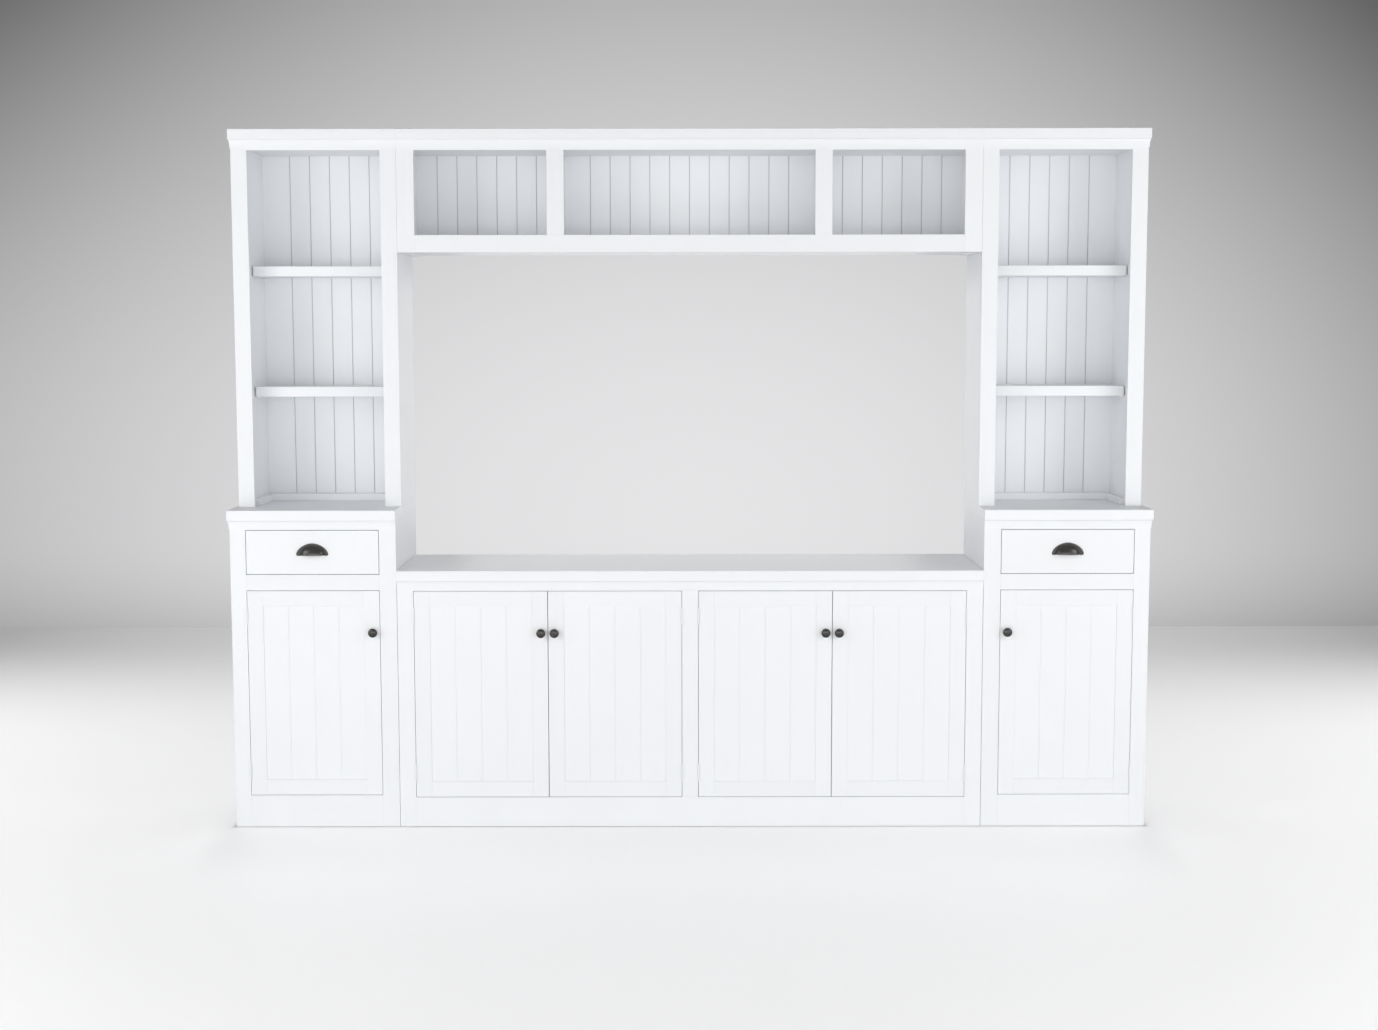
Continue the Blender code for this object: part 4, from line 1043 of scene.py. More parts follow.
def hutch_case(side):
    """Build the boards and the front frame of one hutch."""
    name = f"{side}_hutch_case"
    x, y, z = node_limits(name)
    inner = hutch_inner(side)
    rear = (BOARD_REAR + TOUCH_GAP, WALL)
    bm = new_shape()
    for limits in ((x[0], inner[0]), (inner[1], x[1])):
        board(bm, limits, y, z)
    board(bm, inner, y, (CEILING, z[1]), material=1)
    board(bm, inner, rear, (z[0], z[0] + REAR_RAIL), material=1)
    board(bm, inner, rear, (CEILING - REAR_RAIL, CEILING), material=1)
    paints = ("white_paint_upright", "white_paint_level")
    finished(f"{side}_hutch_boards", bm, CABINET, paints, (name,))
    frame_z = node_limits(f"{side}_hutch_face_frame")[2]
    face_frame(f"{side}_hutch_front_frame", x, (HUTCH_FRONT, CASE_FRONT - TOUCH_GAP), frame_z,
               [grown(x, -HUTCH_STILE)], [(frame_z[0], OPENING_TOP)], (f"{side}_hutch_face_frame",))


def cubby_limits(end, partition):
    """Give the X limits of the three cubbies between walls of the given widths."""
    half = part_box("bridge_case")[1].x
    place = half * PARTITION_SHARE
    near, far, outer = place - partition / 2, place + partition / 2, half - end
    return [(-outer, -far), (-near, near), (far, outer)]


def bridge_case():
    """Build the boards and the front frame of the bridge."""
    x, y, z = node_limits("bridge_case")
    inner = grown(x, -BRIDGE_WALL)
    floor = z[0] + BRIDGE_BOTTOM_RAIL
    cubbies = cubby_limits(BRIDGE_WALL, BRIDGE_WALL)
    bm = new_shape()
    for limits in ((x[0], inner[0]), (inner[1], x[1])):
        board(bm, limits, y, z)
    for first, second in zip(cubbies, cubbies[1:]):
        board(bm, (first[1], second[0]), (y[0], BOARD_FRONT), (floor, CEILING))
    board(bm, inner, y, (floor - BRIDGE_FLOOR, floor), material=1)
    board(bm, inner, y, (CEILING, z[1]), material=1)
    board(bm, inner, (BOARD_REAR + TOUCH_GAP, WALL), (CEILING - REAR_RAIL, CEILING), material=1)
    paints = ("white_paint_upright", "white_paint_level")
    finished("bridge_boards", bm, CABINET, paints, ("bridge_case",))
    frame_z = node_limits("bridge_face_frame")[2]
    face_frame("bridge_front_frame", x, (HUTCH_FRONT, CASE_FRONT - TOUCH_GAP), frame_z,
               cubby_limits(*BRIDGE_STILES), [(floor, OPENING_TOP)], ("bridge_face_frame",))


def shelf_board(name, corner_radius):
    """Build a shelf with rounded front corners and sanded edges."""
    x, y, z = node_limits(name)
    bm = new_shape()
    steps = 8
    outline = [(x[1], y[1]), (x[0], y[1])]
    for corner_x, start in ((x[0] + corner_radius, math.pi), (x[1] - corner_radius, 3 * math.pi / 2)):
        for step in range(steps + 1):
            turn = start + math.pi / 2 * step / steps
            outline.append((corner_x + corner_radius * math.cos(turn),
                            y[0] + corner_radius + corner_radius * math.sin(turn)))
    extruded(bm, outline, "Z", z)
    bmesh.ops.recalc_face_normals(bm, faces=bm.faces)
    rims = [edge for edge in bm.edges if edge.is_manifold and edge.calc_face_angle() > 1.2
            and abs(edge.verts[0].co.z - edge.verts[1].co.z) < 0.001]
    bmesh.ops.bevel(bm, geom=rims, offset=0.0015, segments=3, profile=0.5, affect="EDGES")
    return finished(name.replace("shelf", "shelf_board"), bm, CABINET,
                    ("white_paint_level",), (name,))


def cleat(side):
    """Build the low cleat round the foot of a hutch from three strips."""
    name = f"{side}_hutch_cleat"
    x, y, z = node_limits(name)
    bm = new_shape()
    board(bm, (x[0], x[0] + 0.018), (y[0], y[1] - 0.040), z, material=1)
    board(bm, (x[1] - 0.018, x[1]), (y[0], y[1] - 0.040), z, material=1)
    board(bm, x, (y[1] - 0.040, y[1]), z)
    finished(f"{side}_hutch_foot_strips", bm, CABINET, ("white_paint_level", "white_paint_deep"),
             (name,))


def cove_points():
    """List (share of the overhang, drop from the top) round the section of the cove."""
    steps = 10
    points = []
    for step in range(steps + 1):
        turn = math.pi / 2 * step / steps
        points.append((COVE_FOOT + (1 - COVE_FOOT) * (1 - math.sin(turn)), SLAB + COVE * (1 - math.cos(turn))))
    return [*points, (0, SLAB + COVE), (0, SLAB - 0.001)]


def moulded_top(name, case_x, front, over_left, over_right):
    """Build a top or cornice: a slab with a rounded edge over mitred cove strips."""
    _, _, z = node_limits(name)
    radius = bpy.context.scene.wallunit_boards.slab_radius
    bm = new_shape()
    rings = []
    steps = 6
    rounding = [(radius * (1 - math.sin(math.pi / 2 * i / steps)), radius * (1 - math.cos(math.pi / 2 * i / steps)))
                for i in range(steps + 1)]
    for inset, drop in [*rounding, (0, SLAB - 0.0008), (0.0008, SLAB)]:
        low = case_x[0] - over_left + (inset if over_left else 0)
        high = case_x[1] + over_right - (inset if over_right else 0)
        ahead = front - FRONT_OVERHANG + inset
        corners = ((low, ahead), (high, ahead), (high, WALL), (low, WALL))
        rings.append([bm.verts.new((*corner, z[1] - drop)) for corner in corners])
    for first, second in zip(rings, rings[1:]):
        joined_rings(bm, first, second)
    bm.faces.new(rings[0])
    bm.faces.new(rings[-1])
    rings = []
    for share, drop in cove_points():
        ahead = front - max(FRONT_OVERHANG * share, TOUCH_GAP)
        left = case_x[0] - (max(over_left * share, TOUCH_GAP) if over_left else 0)
        right = case_x[1] + (max(over_right * share, TOUCH_GAP) if over_right else 0)
        path = [(left, WALL)] if over_left else []
        path += [(left, ahead), (right, ahead)]
        path += [(right, WALL)] if over_right else []
        rings.append([bm.verts.new((*corner, z[1] - drop)) for corner in path])
    for first, second in zip(rings, [*rings[1:], rings[0]]):
        joined_rings(bm, first, second, closed=False)
    for end in (0, -1):
        bm.faces.new([ring[end] for ring in rings])
    return finished(name + "_moulding", bm, CABINET, ("white_paint_level",), (name,))


# Doors


def door(name):
    """Build one framed door with its grooved panel."""
    x, z, _, _ = door_plan(name)
    y = (FRONT, FRAME_REAR)
    inner_x, inner_z = grown(x, -DOOR_MEMBER), grown(z, -DOOR_MEMBER)
    bm = new_shape()
    board(bm, (x[0], inner_x[0]), y, z)
    board(bm, (inner_x[1], x[1]), y, z)
    for low, high in ((z[0], inner_z[0]), (inner_z[1], z[1])):
        board(bm, grown(inner_x, 0.0002), y, (low, high), material=1)
    finished(name + "_members", bm, name, ("white_paint_upright", "white_paint_level"),
             (name + "_frame",))
    sizes = bpy.context.scene.wallunit_boards
    pitch = (inner_x[1] - inner_x[0]) / sizes.door_boards
    grooves = [inner_x[0] + pitch * (i + 1) for i in range(sizes.door_boards - 1)]
    cut = (sizes.door_groove_width, sizes.door_groove_depth)
    panel = node_limits(name + "_panel")
    grooved_board(name + "_boards", *panel, grooves, cut, name, "white_paint_panels", (name + "_panel",))


def hinge_heights(z):
    """Give the middles of a door's two hinges."""
    return (z[0] + HINGE_END, z[1] - HINGE_END)


def hinge_part(toward, on_door):
    """Shape one half of a butt hinge about the middle of its pin."""
    bm = new_shape()
    leaf = bpy.context.scene.wallunit_hardware.leaf_thickness
    way = toward if on_door else -toward
    end, split = HINGE_LENGTH / 2, HINGE_LENGTH / 6
    reach = split - TOUCH_GAP
    ease = 0.0003
    edge = DOOR_GAP / 2
    if on_door:
        bore = HINGE_PIN + 0.0004
        profile = ((bore, -reach), (KNUCKLE - ease, -reach), (KNUCKLE, ease - reach), (KNUCKLE, reach - ease),
                   (KNUCKLE - ease, reach), (bore, reach))
        turned(bm, profile, "Z", (0, 0, 0), 24, hollow=True)
        spans = [(-reach, reach)]
    else:
        tip = 0.0012
        half = [(0, end + tip), (0.0007, end + tip * 0.9), (0.0012, end + tip * 0.5), (0.0013, end),
                (KNUCKLE - ease, end), (KNUCKLE, end - ease), (KNUCKLE, split + ease), (KNUCKLE - ease, split),
                (HINGE_PIN, split)]
        turned(bm, [*((r, -a) for r, a in half), *reversed(half)], "Z", (0, 0, 0), 24)
        spans = [(-end, -split), (split, end)]
    plate_x = (way * (edge - leaf), way * edge)
    plate_y = AXIS_REACH + 0.0004
    for span in spans:
        board(bm, plate_x, (0.0018, plate_y + 0.001), span, radius=0.0001)
    board(bm, plate_x, (plate_y, plate_y + 0.0168), (-end, end), radius=0.0001)
    screw = ((0, -0.0002), (0.0021, -0.0002), (0.0022, 0.00004), (0.0019, 0.0001), (0.0012, 0.0001, 0, 4),
             (0.0010, -0.0001, 0, 4), (0, -0.0001))
    for along in (-0.017, 0, 0.017):
        face = way * (edge - leaf)
        aside = 0.003 if along else -0.002
        profile = [(point[0], -way * point[1], *point[2:]) for point in screw]
        turned(bm, profile, "X", (face, plate_y + 0.009 + aside, along), 16)
    return bm


def hinges():
    """Hang both halves of every butt hinge."""
    for toward in (-1, 1):
        places = []
        for name in DOORS:
            _, z, hinge, way = door_plan(name)
            if way == toward:
                mine = [((hinge, AXIS_Y, height), (0, 0, 1)) for height in hinge_heights(z)]
                copies(f"{name}_hinge_leaves", hinge_part(toward, True), mine, name, "white_paint",
                       "white_paint_metal")
                places += mine
        label = "right" if toward > 0 else "left"
        copies(f"hinge_knuckles_opening_{label}", hinge_part(toward, False), places, CABINET, "white_paint",
               "white_paint_metal")


def catch_places():
    """Give the X place and head height of each door's magnetic catch."""
    places = {}
    for name in DOORS:
        x, z, _, toward = door_plan(name)
        if name.startswith("media"):
            far = x[1] if toward > 0 else x[0]
            place = far - toward * 0.022
        else:
            side = name.split("_")[0]
            place = SIDES[side] * (min(abs(limit) for limit in tower_opening(side)) + STOP_WIDTH)
        places[name] = (place, z[1] + DOOR_GAP - STOP_DROP)
    return places


def catches():
    """Set a magnetic catch under each door stop, with its strike plate on the door."""
    bm = new_shape()
    board(bm, (-0.017, 0.017), (0.0012, 0.0135), (-0.0105, -0.0002), radius=0.0012)
    board(bm, (-0.012, -0.003), (0.0006, 0.0030), (-0.0085, -0.0025), radius=0.0003)
    board(bm, (0.003, 0.012), (0.0006, 0.0030), (-0.0085, -0.0025), radius=0.0003)
    places = [((x, CARCASS_FRONT, z), (0, 0, 1)) for x, z in catch_places().values()]
    copies("door_catches", bm, places, CABINET, "dark_steel", "catch_grey")
    for name, (x, z) in catch_places().items():
        bm = new_shape()
        board(bm, (x - 0.013, x + 0.013), (FRAME_REAR - 0.0004, FRAME_REAR + 0.0005), (z - 0.0105, z - 0.001),
              radius=0.0002)
        screw = ((0.0024, 0.0), (0.0024, 0.0002), (0.0019, 0.0004), (0.0012, 0.0004, 0, 4), (0.0010, 0.0001, 0, 4),
                 (0, 0.0001))
        turned(bm, screw, "Y", (x, FRAME_REAR + 0.0004, z - 0.0058), 16)
        finished(name + "_strike_plate", bm, name, ("bright_steel",))


# Ironware


def smooth_profile(points, steps):
    """Run a smooth line through (radius, distance, rubbed amount) points."""
    result = []
    for i in range(len(points) - 1):
        before, after = points[max(i - 1, 0)], points[min(i + 2, len(points) - 1)]
        start, stop = points[i], points[i + 1]
        for step in range(steps):
            t = step / steps
            result.append(tuple(
                0.5 * (2 * b + (c - a) * t + (2 * a - 5 * b + 4 * c - d) * t ** 2 + (3 * b - a - 3 * c + d) * t ** 3)
                for a, b, c, d in zip(before, start, stop, after)))
    return [*result, points[-1]]


def knob(name, body):
    """Turn one mushroom knob on a small rose."""
    low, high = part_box(name)
    radius = (high.x - low.x) / 2
    reach = high.y - low.y
    centre = ((low.x + high.x) / 2, high.y, (low.z + high.z) / 2)
    foot = [(0.60, 0.0, 0.1), (0.60, 0.035, 0.5), (0.575, 0.065, 0.5), (0.52, 0.075, 0.1)]
    stem = [(0.52, 0.075, 0.1), (0.44, 0.11, 0), (0.385, 0.20, 0), (0.37, 0.32, 0), (0.40, 0.42, 0), (0.55, 0.50, 0),
            (0.78, 0.56, 0), (0.93, 0.61, 0.3), (1.0, 0.69, 0.9), (0.985, 0.76, 0.9), (0.91, 0.845, 0.5),
            (0.74, 0.925, 0.25), (0.45, 0.98, 0.15), (0.20, 0.997, 0.1), (0.0, 1.0, 0.1)]
    profile = [(r * radius, -a * reach, rub) for r, a, rub in [*foot, *smooth_profile(stem, 3)[1:]]]
    profile[-1] = (0, -reach, 0.1)
    bm = new_shape()
    turned(bm, profile, "Y", centre, bpy.context.scene.wallunit_hardware.turning_steps)
    finished(name + "_turning", bm, body, ("black_iron_cast",), (name,))


def powered(value, power):
    """Raise a share to a power and keep its sign."""
    return math.copysign(abs(value) ** power, value)


def pull_surface(centre, radii, turns, rises):
    """Give rows of points over the front of a full dome, from its lip to its back edge."""
    least = PULL_LIP / radii[2]
    start = math.asin(least ** (1 / DOME_POWER))
    rows = []
    for i in range(turns + 1):
        turn = start + (math.pi - 2 * start) * i / turns
        ring = max(math.sin(turn) ** DOME_POWER, least)
        low = math.asin(least / ring)
        row = []
        for j in range(rises + 1 if 0 < i < turns else 1):
            rise = low + (math.pi / 2 - low) * j / rises
            offset = (-powered(math.cos(turn), DOME_POWER) * radii[0], -ring * math.cos(rise) * radii[1],
                      ring * math.sin(rise) * radii[2])
            row.append(Vector(centre) + Vector(offset))
        rows.append(row)
    return rows


def pull_dome(bm, centre, radii):
    """Add the hollow dome of a cup pull."""
    rub = bm.verts.layers.float["rub"]
    shells = []
    for shrink in (0, PULL_WALL):
        rows = pull_surface(centre, [radius - shrink for radius in radii], 56, 18)
        shells.append([[bm.verts.new(place) for place in row] for row in rows])
    for rows in shells:
        for first, second in zip(rows, rows[1:]):
            joined_rings(bm, first, second, closed=False)
    outer, inner = shells
    for end in (0, -1):
        joined_rings(bm, [row[end] for row in outer], [row[end] for row in inner], closed=False)
    for row in outer:
        for j, vert in enumerate(row):
            vert[rub] = 0.9 if j == 0 else 0.35 if j == 1 else 0.12


def plate_edge(half, tall, steps):
    """List the (aside, up) points round the half-moon edge of a pull's plate."""
    start = math.asin(PULL_CORNER / tall)
    width = half / math.cos(start) ** PLATE_POWER
    right = [(half - PULL_CORNER + PULL_CORNER * math.sin(math.pi / 2 * i / 8),
              PULL_CORNER * (1 - math.cos(math.pi / 2 * i / 8))) for i in range(8)]
    for i in range(steps):
        turn = start + (math.pi / 2 - start) * i / steps
        right.append((width * math.cos(turn) ** PLATE_POWER, tall * math.sin(turn)))
    return [*right, (0, tall), *((-aside, up) for aside, up in reversed(right))]


def pull_plate(bm, centre, half, tall, room):
    """Add the flat half-moon plate of a cup pull, open for the fingers and with an eased edge."""
    rub = bm.verts.layers.float["rub"]
    outer = [Vector(point) for point in plate_edge(half, tall, 40)]
    last = len(outer) - 1
    inner = [Vector((room[0] * powered(math.cos(math.pi * i / last), DOME_POWER),
                     room[2] * powered(math.sin(math.pi * i / last), DOME_POWER))) for i in range(last + 1)]
    inner[0].y = inner[-1].y = 0
    ease = 0.0006
    eased = [edge + (hole - edge).normalized() * ease for edge, hole in zip(outer, inner)]
    rings = []
    layers = ((outer, 0, 0), (outer, PULL_PLATE - ease, 0.55), (eased, PULL_PLATE, 0.55), (inner, PULL_PLATE, 0),
              (inner, 0, 0))
    for outline, out, rubbed in layers:
        ring = [bm.verts.new(Vector(centre) + Vector((point.x, -out, point.y))) for point in outline]
        for vert in ring:
            vert[rub] = rubbed
        rings.append(ring)
    for first, second in zip(rings, [*rings[1:], rings[0]]):
        joined_rings(bm, first, second, closed=False)
    for end in (0, -1):
        bm.faces.new([ring[end] for ring in rings])


def cup_pull(side):
    """Make one cup pull: dome, plate and rolled lip."""
    name, body = f"{side}_drawer_pull", f"{side}_drawer"
    low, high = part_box(name)
    centre = ((low.x + high.x) / 2, high.y, low.z)
    radii = (PULL_DOME[0], high.y - low.y, PULL_DOME[1])
    bm = new_shape()
    pull_dome(bm, centre, radii)
    pull_plate(bm, centre, (high.x - low.x) / 2, high.z - low.z, [radius - PULL_WALL for radius in radii])
    finished(name + "_casting", bm, body, ("black_iron_cast",), (name,))
    lip = bpy.context.scene.wallunit_hardware.lip_radius
    path = bpy.data.meshes.new(name + "_lip")
    rows = pull_surface(centre, [radius - lip for radius in radii], 64, 2)
    places = [row[0] + Vector((0, 0, lip * 0.6)) for row in rows]
    path.from_pydata(places, [(i, i + 1) for i in range(len(places) - 1)], [])
    bead = grown_by_tree(name + "_lip", path, "rim_on_path", "black_iron_rubbed", {"Radius": lip, "Steps": 12})
    settled(bead, body)


def bolts():
    """Set the domed heads of the bolts between the towers and the bridge."""
    bm = new_shape()
    low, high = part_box("left_bridge_bolt")
    radius = (high.z - low.z) / 2
    thick = 0.003
    profile = ((0.0030, -0.012), (0.0030, 0), (radius, 0), (radius, 0.0010), (radius * 0.96, 0.0017),
               (radius * 0.84, 0.0024), (radius * 0.62, thick * 0.97), (0.0031, thick),
               (0.0027, thick, 0, 6), (0.0026, 0.0010, 0, 6), (0, 0.0008))
    turned(bm, profile, "Z", (0, 0, 0), 42)
    places = []
    for side in SIDES:
        low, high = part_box(f"{side}_bridge_bolt")
        middle = (low + high) / 2
        places.append(((low.x + thick, middle.y, middle.z), (-1, 0, 0)))
        places.append(((high.x - thick, middle.y, middle.z), (1, 0, 0)))
    copies("bridge_bolt_heads", bm, places, CABINET, "dark_steel", "dark_steel_turned", turn=1.0, seed=3,
           replaced=tuple(f"{side}_bridge_bolt" for side in SIDES))


def screw_places(x, z, spacing, inset=0.006):
    """List the screws round the edge of a back board."""
    places = []
    low_x, high_x, low_z, high_z = x[0] + inset, x[1] - inset, z[0] + inset, z[1] - inset
    across = max(round((high_x - low_x) / spacing), 1)
    upright = max(round((high_z - low_z) / spacing), 1)
    for i in range(across + 1):
        places += [(low_x + (high_x - low_x) * i / across, height) for height in (low_z, high_z)]
    for i in range(1, upright):
        places += [(place, low_z + (high_z - low_z) * i / upright) for place in (low_x, high_x)]
    return places


def base_backs():
    """Make the flat backs of the bases with their screws and cable ports."""
    settings = bpy.context.scene.wallunit_hardware
    radius = settings.screw_radius
    proud = 0.0008
    screws = []
    for name in ("left_base_back", "right_base_back", "media_base_back"):
        x, y, z = node_limits(name)
        bm = new_shape()
        board(bm, x, (y[0], y[1] - proud), z, radius=0.0005)
        obj = plain_object(name + "_board", mesh_of(name, bm), ("white_paint_upright",))
        if name.startswith("media"):
            cut_ports(obj, z)
        settled(obj, CABINET, (name,))
        screws += [((across, y[1] - proud, height), (0, 1, 0))
                   for across, height in screw_places(x, z, settings.screw_pitch)]
    bm = new_shape()
    profile = ((radius, -0.0006), (radius, 0.0003), (radius * 0.9, 0.00055), (radius * 0.56, proud * 0.9),
               (radius * 0.52, proud * 0.9, 0, 4), (radius * 0.40, -0.0002, 0, 4), (0, -0.0004))
    turned(bm, profile, "Z", (0, 0, 0), 24)
    copies("back_screws", bm, screws, CABINET, "dark_steel", "bright_steel", turn=math.tau,
           seed=settings.screw_seed)


def cut_ports(obj, z):
    """Bore the two cable ports through the media back."""
    rail = node_limits("media_door_1_frame")[2]
    low, high = rail[0] - DOOR_GAP, rail[1] + DOOR_GAP
    height = low + (high - low) * 0.62
    for side, bay in media_bays().items():
        bm = new_shape()
        turned(bm, ((PORT_RADIUS, -0.05), (PORT_RADIUS, 0.05)), "Y", (sum(bay) / 2, WALL, height), 64)
        cutter = plain_object(f"{side}_port_cutter", mesh_of("port_cutter", bm))
        modifier = obj.modifiers.new("port", "BOOLEAN")
        modifier.operation, modifier.solver, modifier.object = "DIFFERENCE", "EXACT", cutter
        graph = bpy.context.evaluated_depsgraph_get()
        result = bpy.data.meshes.new_from_object(obj.evaluated_get(graph), preserve_all_data_layers=True,
                                                 depsgraph=graph)
        obj.modifiers.clear()
        obj.data = result
        bpy.data.objects.remove(cutter)


def shelf_pins():
    """Set the turned pins under every shelf."""
    bm = new_shape()
    profile = ((0.0026, -0.003), (0.0026, 0), (PIN_RADIUS + 0.0010, 0), (PIN_RADIUS + 0.0010, 0.0009), (PIN_RADIUS, 0.0010),
               (PIN_RADIUS, 0.0078), (PIN_RADIUS * 0.86, 0.0087), (PIN_RADIUS * 0.5, 0.009), (0, 0.009))
    profile = [(min(radius, PIN_RADIUS), along) for radius, along in profile]
    turned(bm, profile, "Z", (0, 0, 0), 20)
    places = []
    for side in SIDES:
        inner = hutch_inner(side)
        for label in ("upper", "lower"):
            places += shelf_pin_places(f"{side}_hutch_{label}_shelf", inner)
        case = grown(node_limits(f"{side}_base_carcass")[0], -BASE_BOARD)
        places += shelf_pin_places(f"{side}_base_shelf", case)
        places += shelf_pin_places(f"media_shelf_{side}", media_bays()[side])
    copies("shelf_pins", bm, places, CABINET, "white_paint", "white_paint_metal")


# Drawers


def dovetail_steps(settings, z, end, inward):
    """List the (y, z) points up one dovetailed end of a drawer side."""
    wide, neck = settings.pin_width / 2, settings.pin_neck / 2
    pitch = (z[1] - z[0]) / settings.tails
    deep = end + inward * DRAWER_BOARD
    points = [(deep, z[0]), (deep, z[0] + wide), (end, z[0] + neck)]
    for i in range(1, settings.tails):
        middle = z[0] + pitch * i
        points += [(end, middle - neck), (deep, middle - wide), (deep, middle + wide), (end, middle + neck)]
    return [*points, (end, z[1] - neck), (deep, z[1] - wide), (deep, z[1])]


def pin_outlines(settings, z, end, inward):
    """List the (y, z) outlines of the pins that fill one dovetailed end."""
    wide, neck = settings.pin_width / 2, settings.pin_neck / 2
    pitch = (z[1] - z[0]) / settings.tails
    deep = end + inward * DRAWER_BOARD
    gap = 0.00015
    outlines = []
    for i in range(settings.tails + 1):
        middle = z[0] + pitch * i
        near = [(end, middle - neck + gap), (deep, middle - wide + gap), (deep, middle + wide - gap),
                (end, middle + neck - gap)]
        outlines.append([(y, min(max(height, z[0]), z[1])) for y, height in near])
    return outlines


def drawer_box(side):
    """Build a dovetailed drawer box of bare wood."""
    settings = bpy.context.scene.wallunit_drawers
    name = f"{side}_drawer_box"
    x, y, z = node_limits(name)
    inner_x, inner_y = grown(x, -DRAWER_BOARD), grown(y, -DRAWER_BOARD)
    front = dovetail_steps(settings, z, y[0], 1)
    rear = dovetail_steps(settings, z, y[1], -1)
    bm = new_shape()
    for limits in ((x[0], inner_x[0]), (inner_x[1], x[1])):
        extruded(bm, [*front, *reversed(rear)], "X", limits)
        for end, inward in ((y[0], 1), (y[1], -1)):
            for outline in pin_outlines(settings, z, end, inward):
                extruded(bm, outline, "X", limits, material=2)
    for limits in ((y[0], inner_y[0]), (inner_y[1], y[1])):
        board(bm, inner_x, limits, z, radius=0.0005, material=1)
    bottom = (z[0] + DRAWER_BOTTOM[0], z[0] + DRAWER_BOTTOM[1])
    board(bm, grown(inner_x, 0.001), grown(inner_y, 0.001), bottom, radius=0.0002, material=3)
    finished(f"{side}_drawer_joinery", bm, f"{side}_drawer",
             ("bare_wood_deep", "bare_wood_level", "bare_wood_end", "bare_ply"), (name,))


def drawer_front(side):
    """Build the painted front of a drawer."""
    name = f"{side}_drawer_front"
    bm = new_shape()
    board(bm, *node_limits(name))
    finished(f"{name}_board", bm, f"{side}_drawer", ("white_paint_level",), (name,))


class WALLUNIT_OT_finishes(bpy.types.Operator):
    """Make the paint, wood and metal finishes"""

    bl_idname = "wallunit.finishes"
    bl_label = "Finishes"

    def execute(self, context):
        paint = context.scene.wallunit_paint
        hardware = context.scene.wallunit_hardware
        wood = tuple(context.scene.wallunit_drawers.wood_colour)
        for axis, label in (("X", "level"), ("Z", "upright"), ("Y", "deep")):
            paint_material(f"white_paint_{label}", paint, axis)
        # Two paints that differ only in the painted shade at the bottom of their grooves
        paint_material("white_paint_backs", paint, "Z", paint.groove_shade)
        paint_material("white_paint_panels", paint, "Z", paint.door_groove_shade)
        paint_material("white_paint_metal", paint, "Z")
        iron_material("black_iron_cast", hardware)
        iron_material("black_iron_rubbed", hardware)
        wood_material("bare_wood_deep", wood, "Y")
        wood_material("bare_wood_level", wood, "X")
        wood_material("bare_wood_end", wood, "X", end_grain=True)
        wood_material("bare_ply", toned(wood, 1.08), "X")
        steel_material("dark_steel_turned", (0.05, 0.05, 0.05), 0.36)
        steel_material("bright_steel", (0.42, 0.42, 0.42), 0.32)
        dull_material("catch_grey", (0.30, 0.30, 0.31), 0.5)
        return {"FINISHED"}


class WALLUNIT_OT_trees(bpy.types.Operator):
    """Build the geometry trees of grooved boards, repeated parts and beads"""

    bl_idname = "wallunit.trees"
    bl_label = "Geometry Trees"

    def execute(self, context):
        for build in (grooved_tree, copies_tree, rim_tree):
            build()
        return {"FINISHED"}


class WALLUNIT_OT_case_work(bpy.types.Operator):
    """Build the boards and front frames of the bases, hutches and bridge"""

    bl_idname = "wallunit.case_work"
    bl_label = "Case Work"

    def execute(self, context):
        for side in SIDES:
            tower_case(side)
            hutch_case(side)
            cleat(side)
        media_case()
        bridge_case()
        return {"FINISHED"}


class WALLUNIT_OT_mouldings(bpy.types.Operator):
    """Build the tops and cornices with their coves"""

    bl_idname = "wallunit.mouldings"
    bl_label = "Tops and Cornices"

    def execute(self, context):
        for side in SIDES:
            overs = (SIDE_OVERHANG, 0) if side == "left" else (0, SIDE_OVERHANG)
            moulded_top(f"{side}_base_top", node_limits(f"{side}_base_carcass")[0], FRONT, *overs)
            moulded_top(f"{side}_hutch_cornice", node_limits(f"{side}_hutch_case")[0], HUTCH_FRONT, *overs)
        moulded_top("media_base_top", node_limits("media_base_carcass")[0], FRONT, 0, 0)
        moulded_top("bridge_cornice", node_limits("bridge_case")[0], HUTCH_FRONT, 0, 0)
        return {"FINISHED"}


class WALLUNIT_OT_backs(bpy.types.Operator):
    """Make the grooved backs of the hutches and bridge and the flat backs of the bases"""

    bl_idname = "wallunit.backs"
    bl_label = "Backs"

    def execute(self, context):
        sizes = context.scene.wallunit_boards
        pitch, cut = sizes.back_board, (sizes.groove_width, sizes.groove_depth)
        for side in SIDES:
            limits = hutch_inner(side)
            grooves = self.grooves(limits, pitch)
            name = f"{side}_hutch_back"
            grooved_board(name + "_boards", *node_limits(name), grooves, cut, CABINET, "white_paint_backs", (name,))
        x, y, z = node_limits("bridge_back")
        cubbies = cubby_limits(BRIDGE_WALL, BRIDGE_WALL)
        ends = (x[0], *(sum(pair) / 2 for pair in ((cubbies[0][1], cubbies[1][0]), (cubbies[1][1], cubbies[2][0]))), x[1])
        for number, limits in enumerate(cubbies):
            replaced = ("bridge_back",) if number == 0 else ()
            grooved_board(f"bridge_back_boards_{number + 1}", (ends[number], ends[number + 1]), y, z,
                          self.grooves(limits, pitch), cut, CABINET, "white_paint_backs", replaced)
        base_backs()
        return {"FINISHED"}

    @staticmethod
    def grooves(limits, pitch):
        """Give the grooves between the whole boards that fit between limits, centred."""
        count = math.floor((limits[1] - limits[0]) / pitch) - 1
        return [sum(limits) / 2 + pitch * (i - (count - 1) / 2) for i in range(count)]


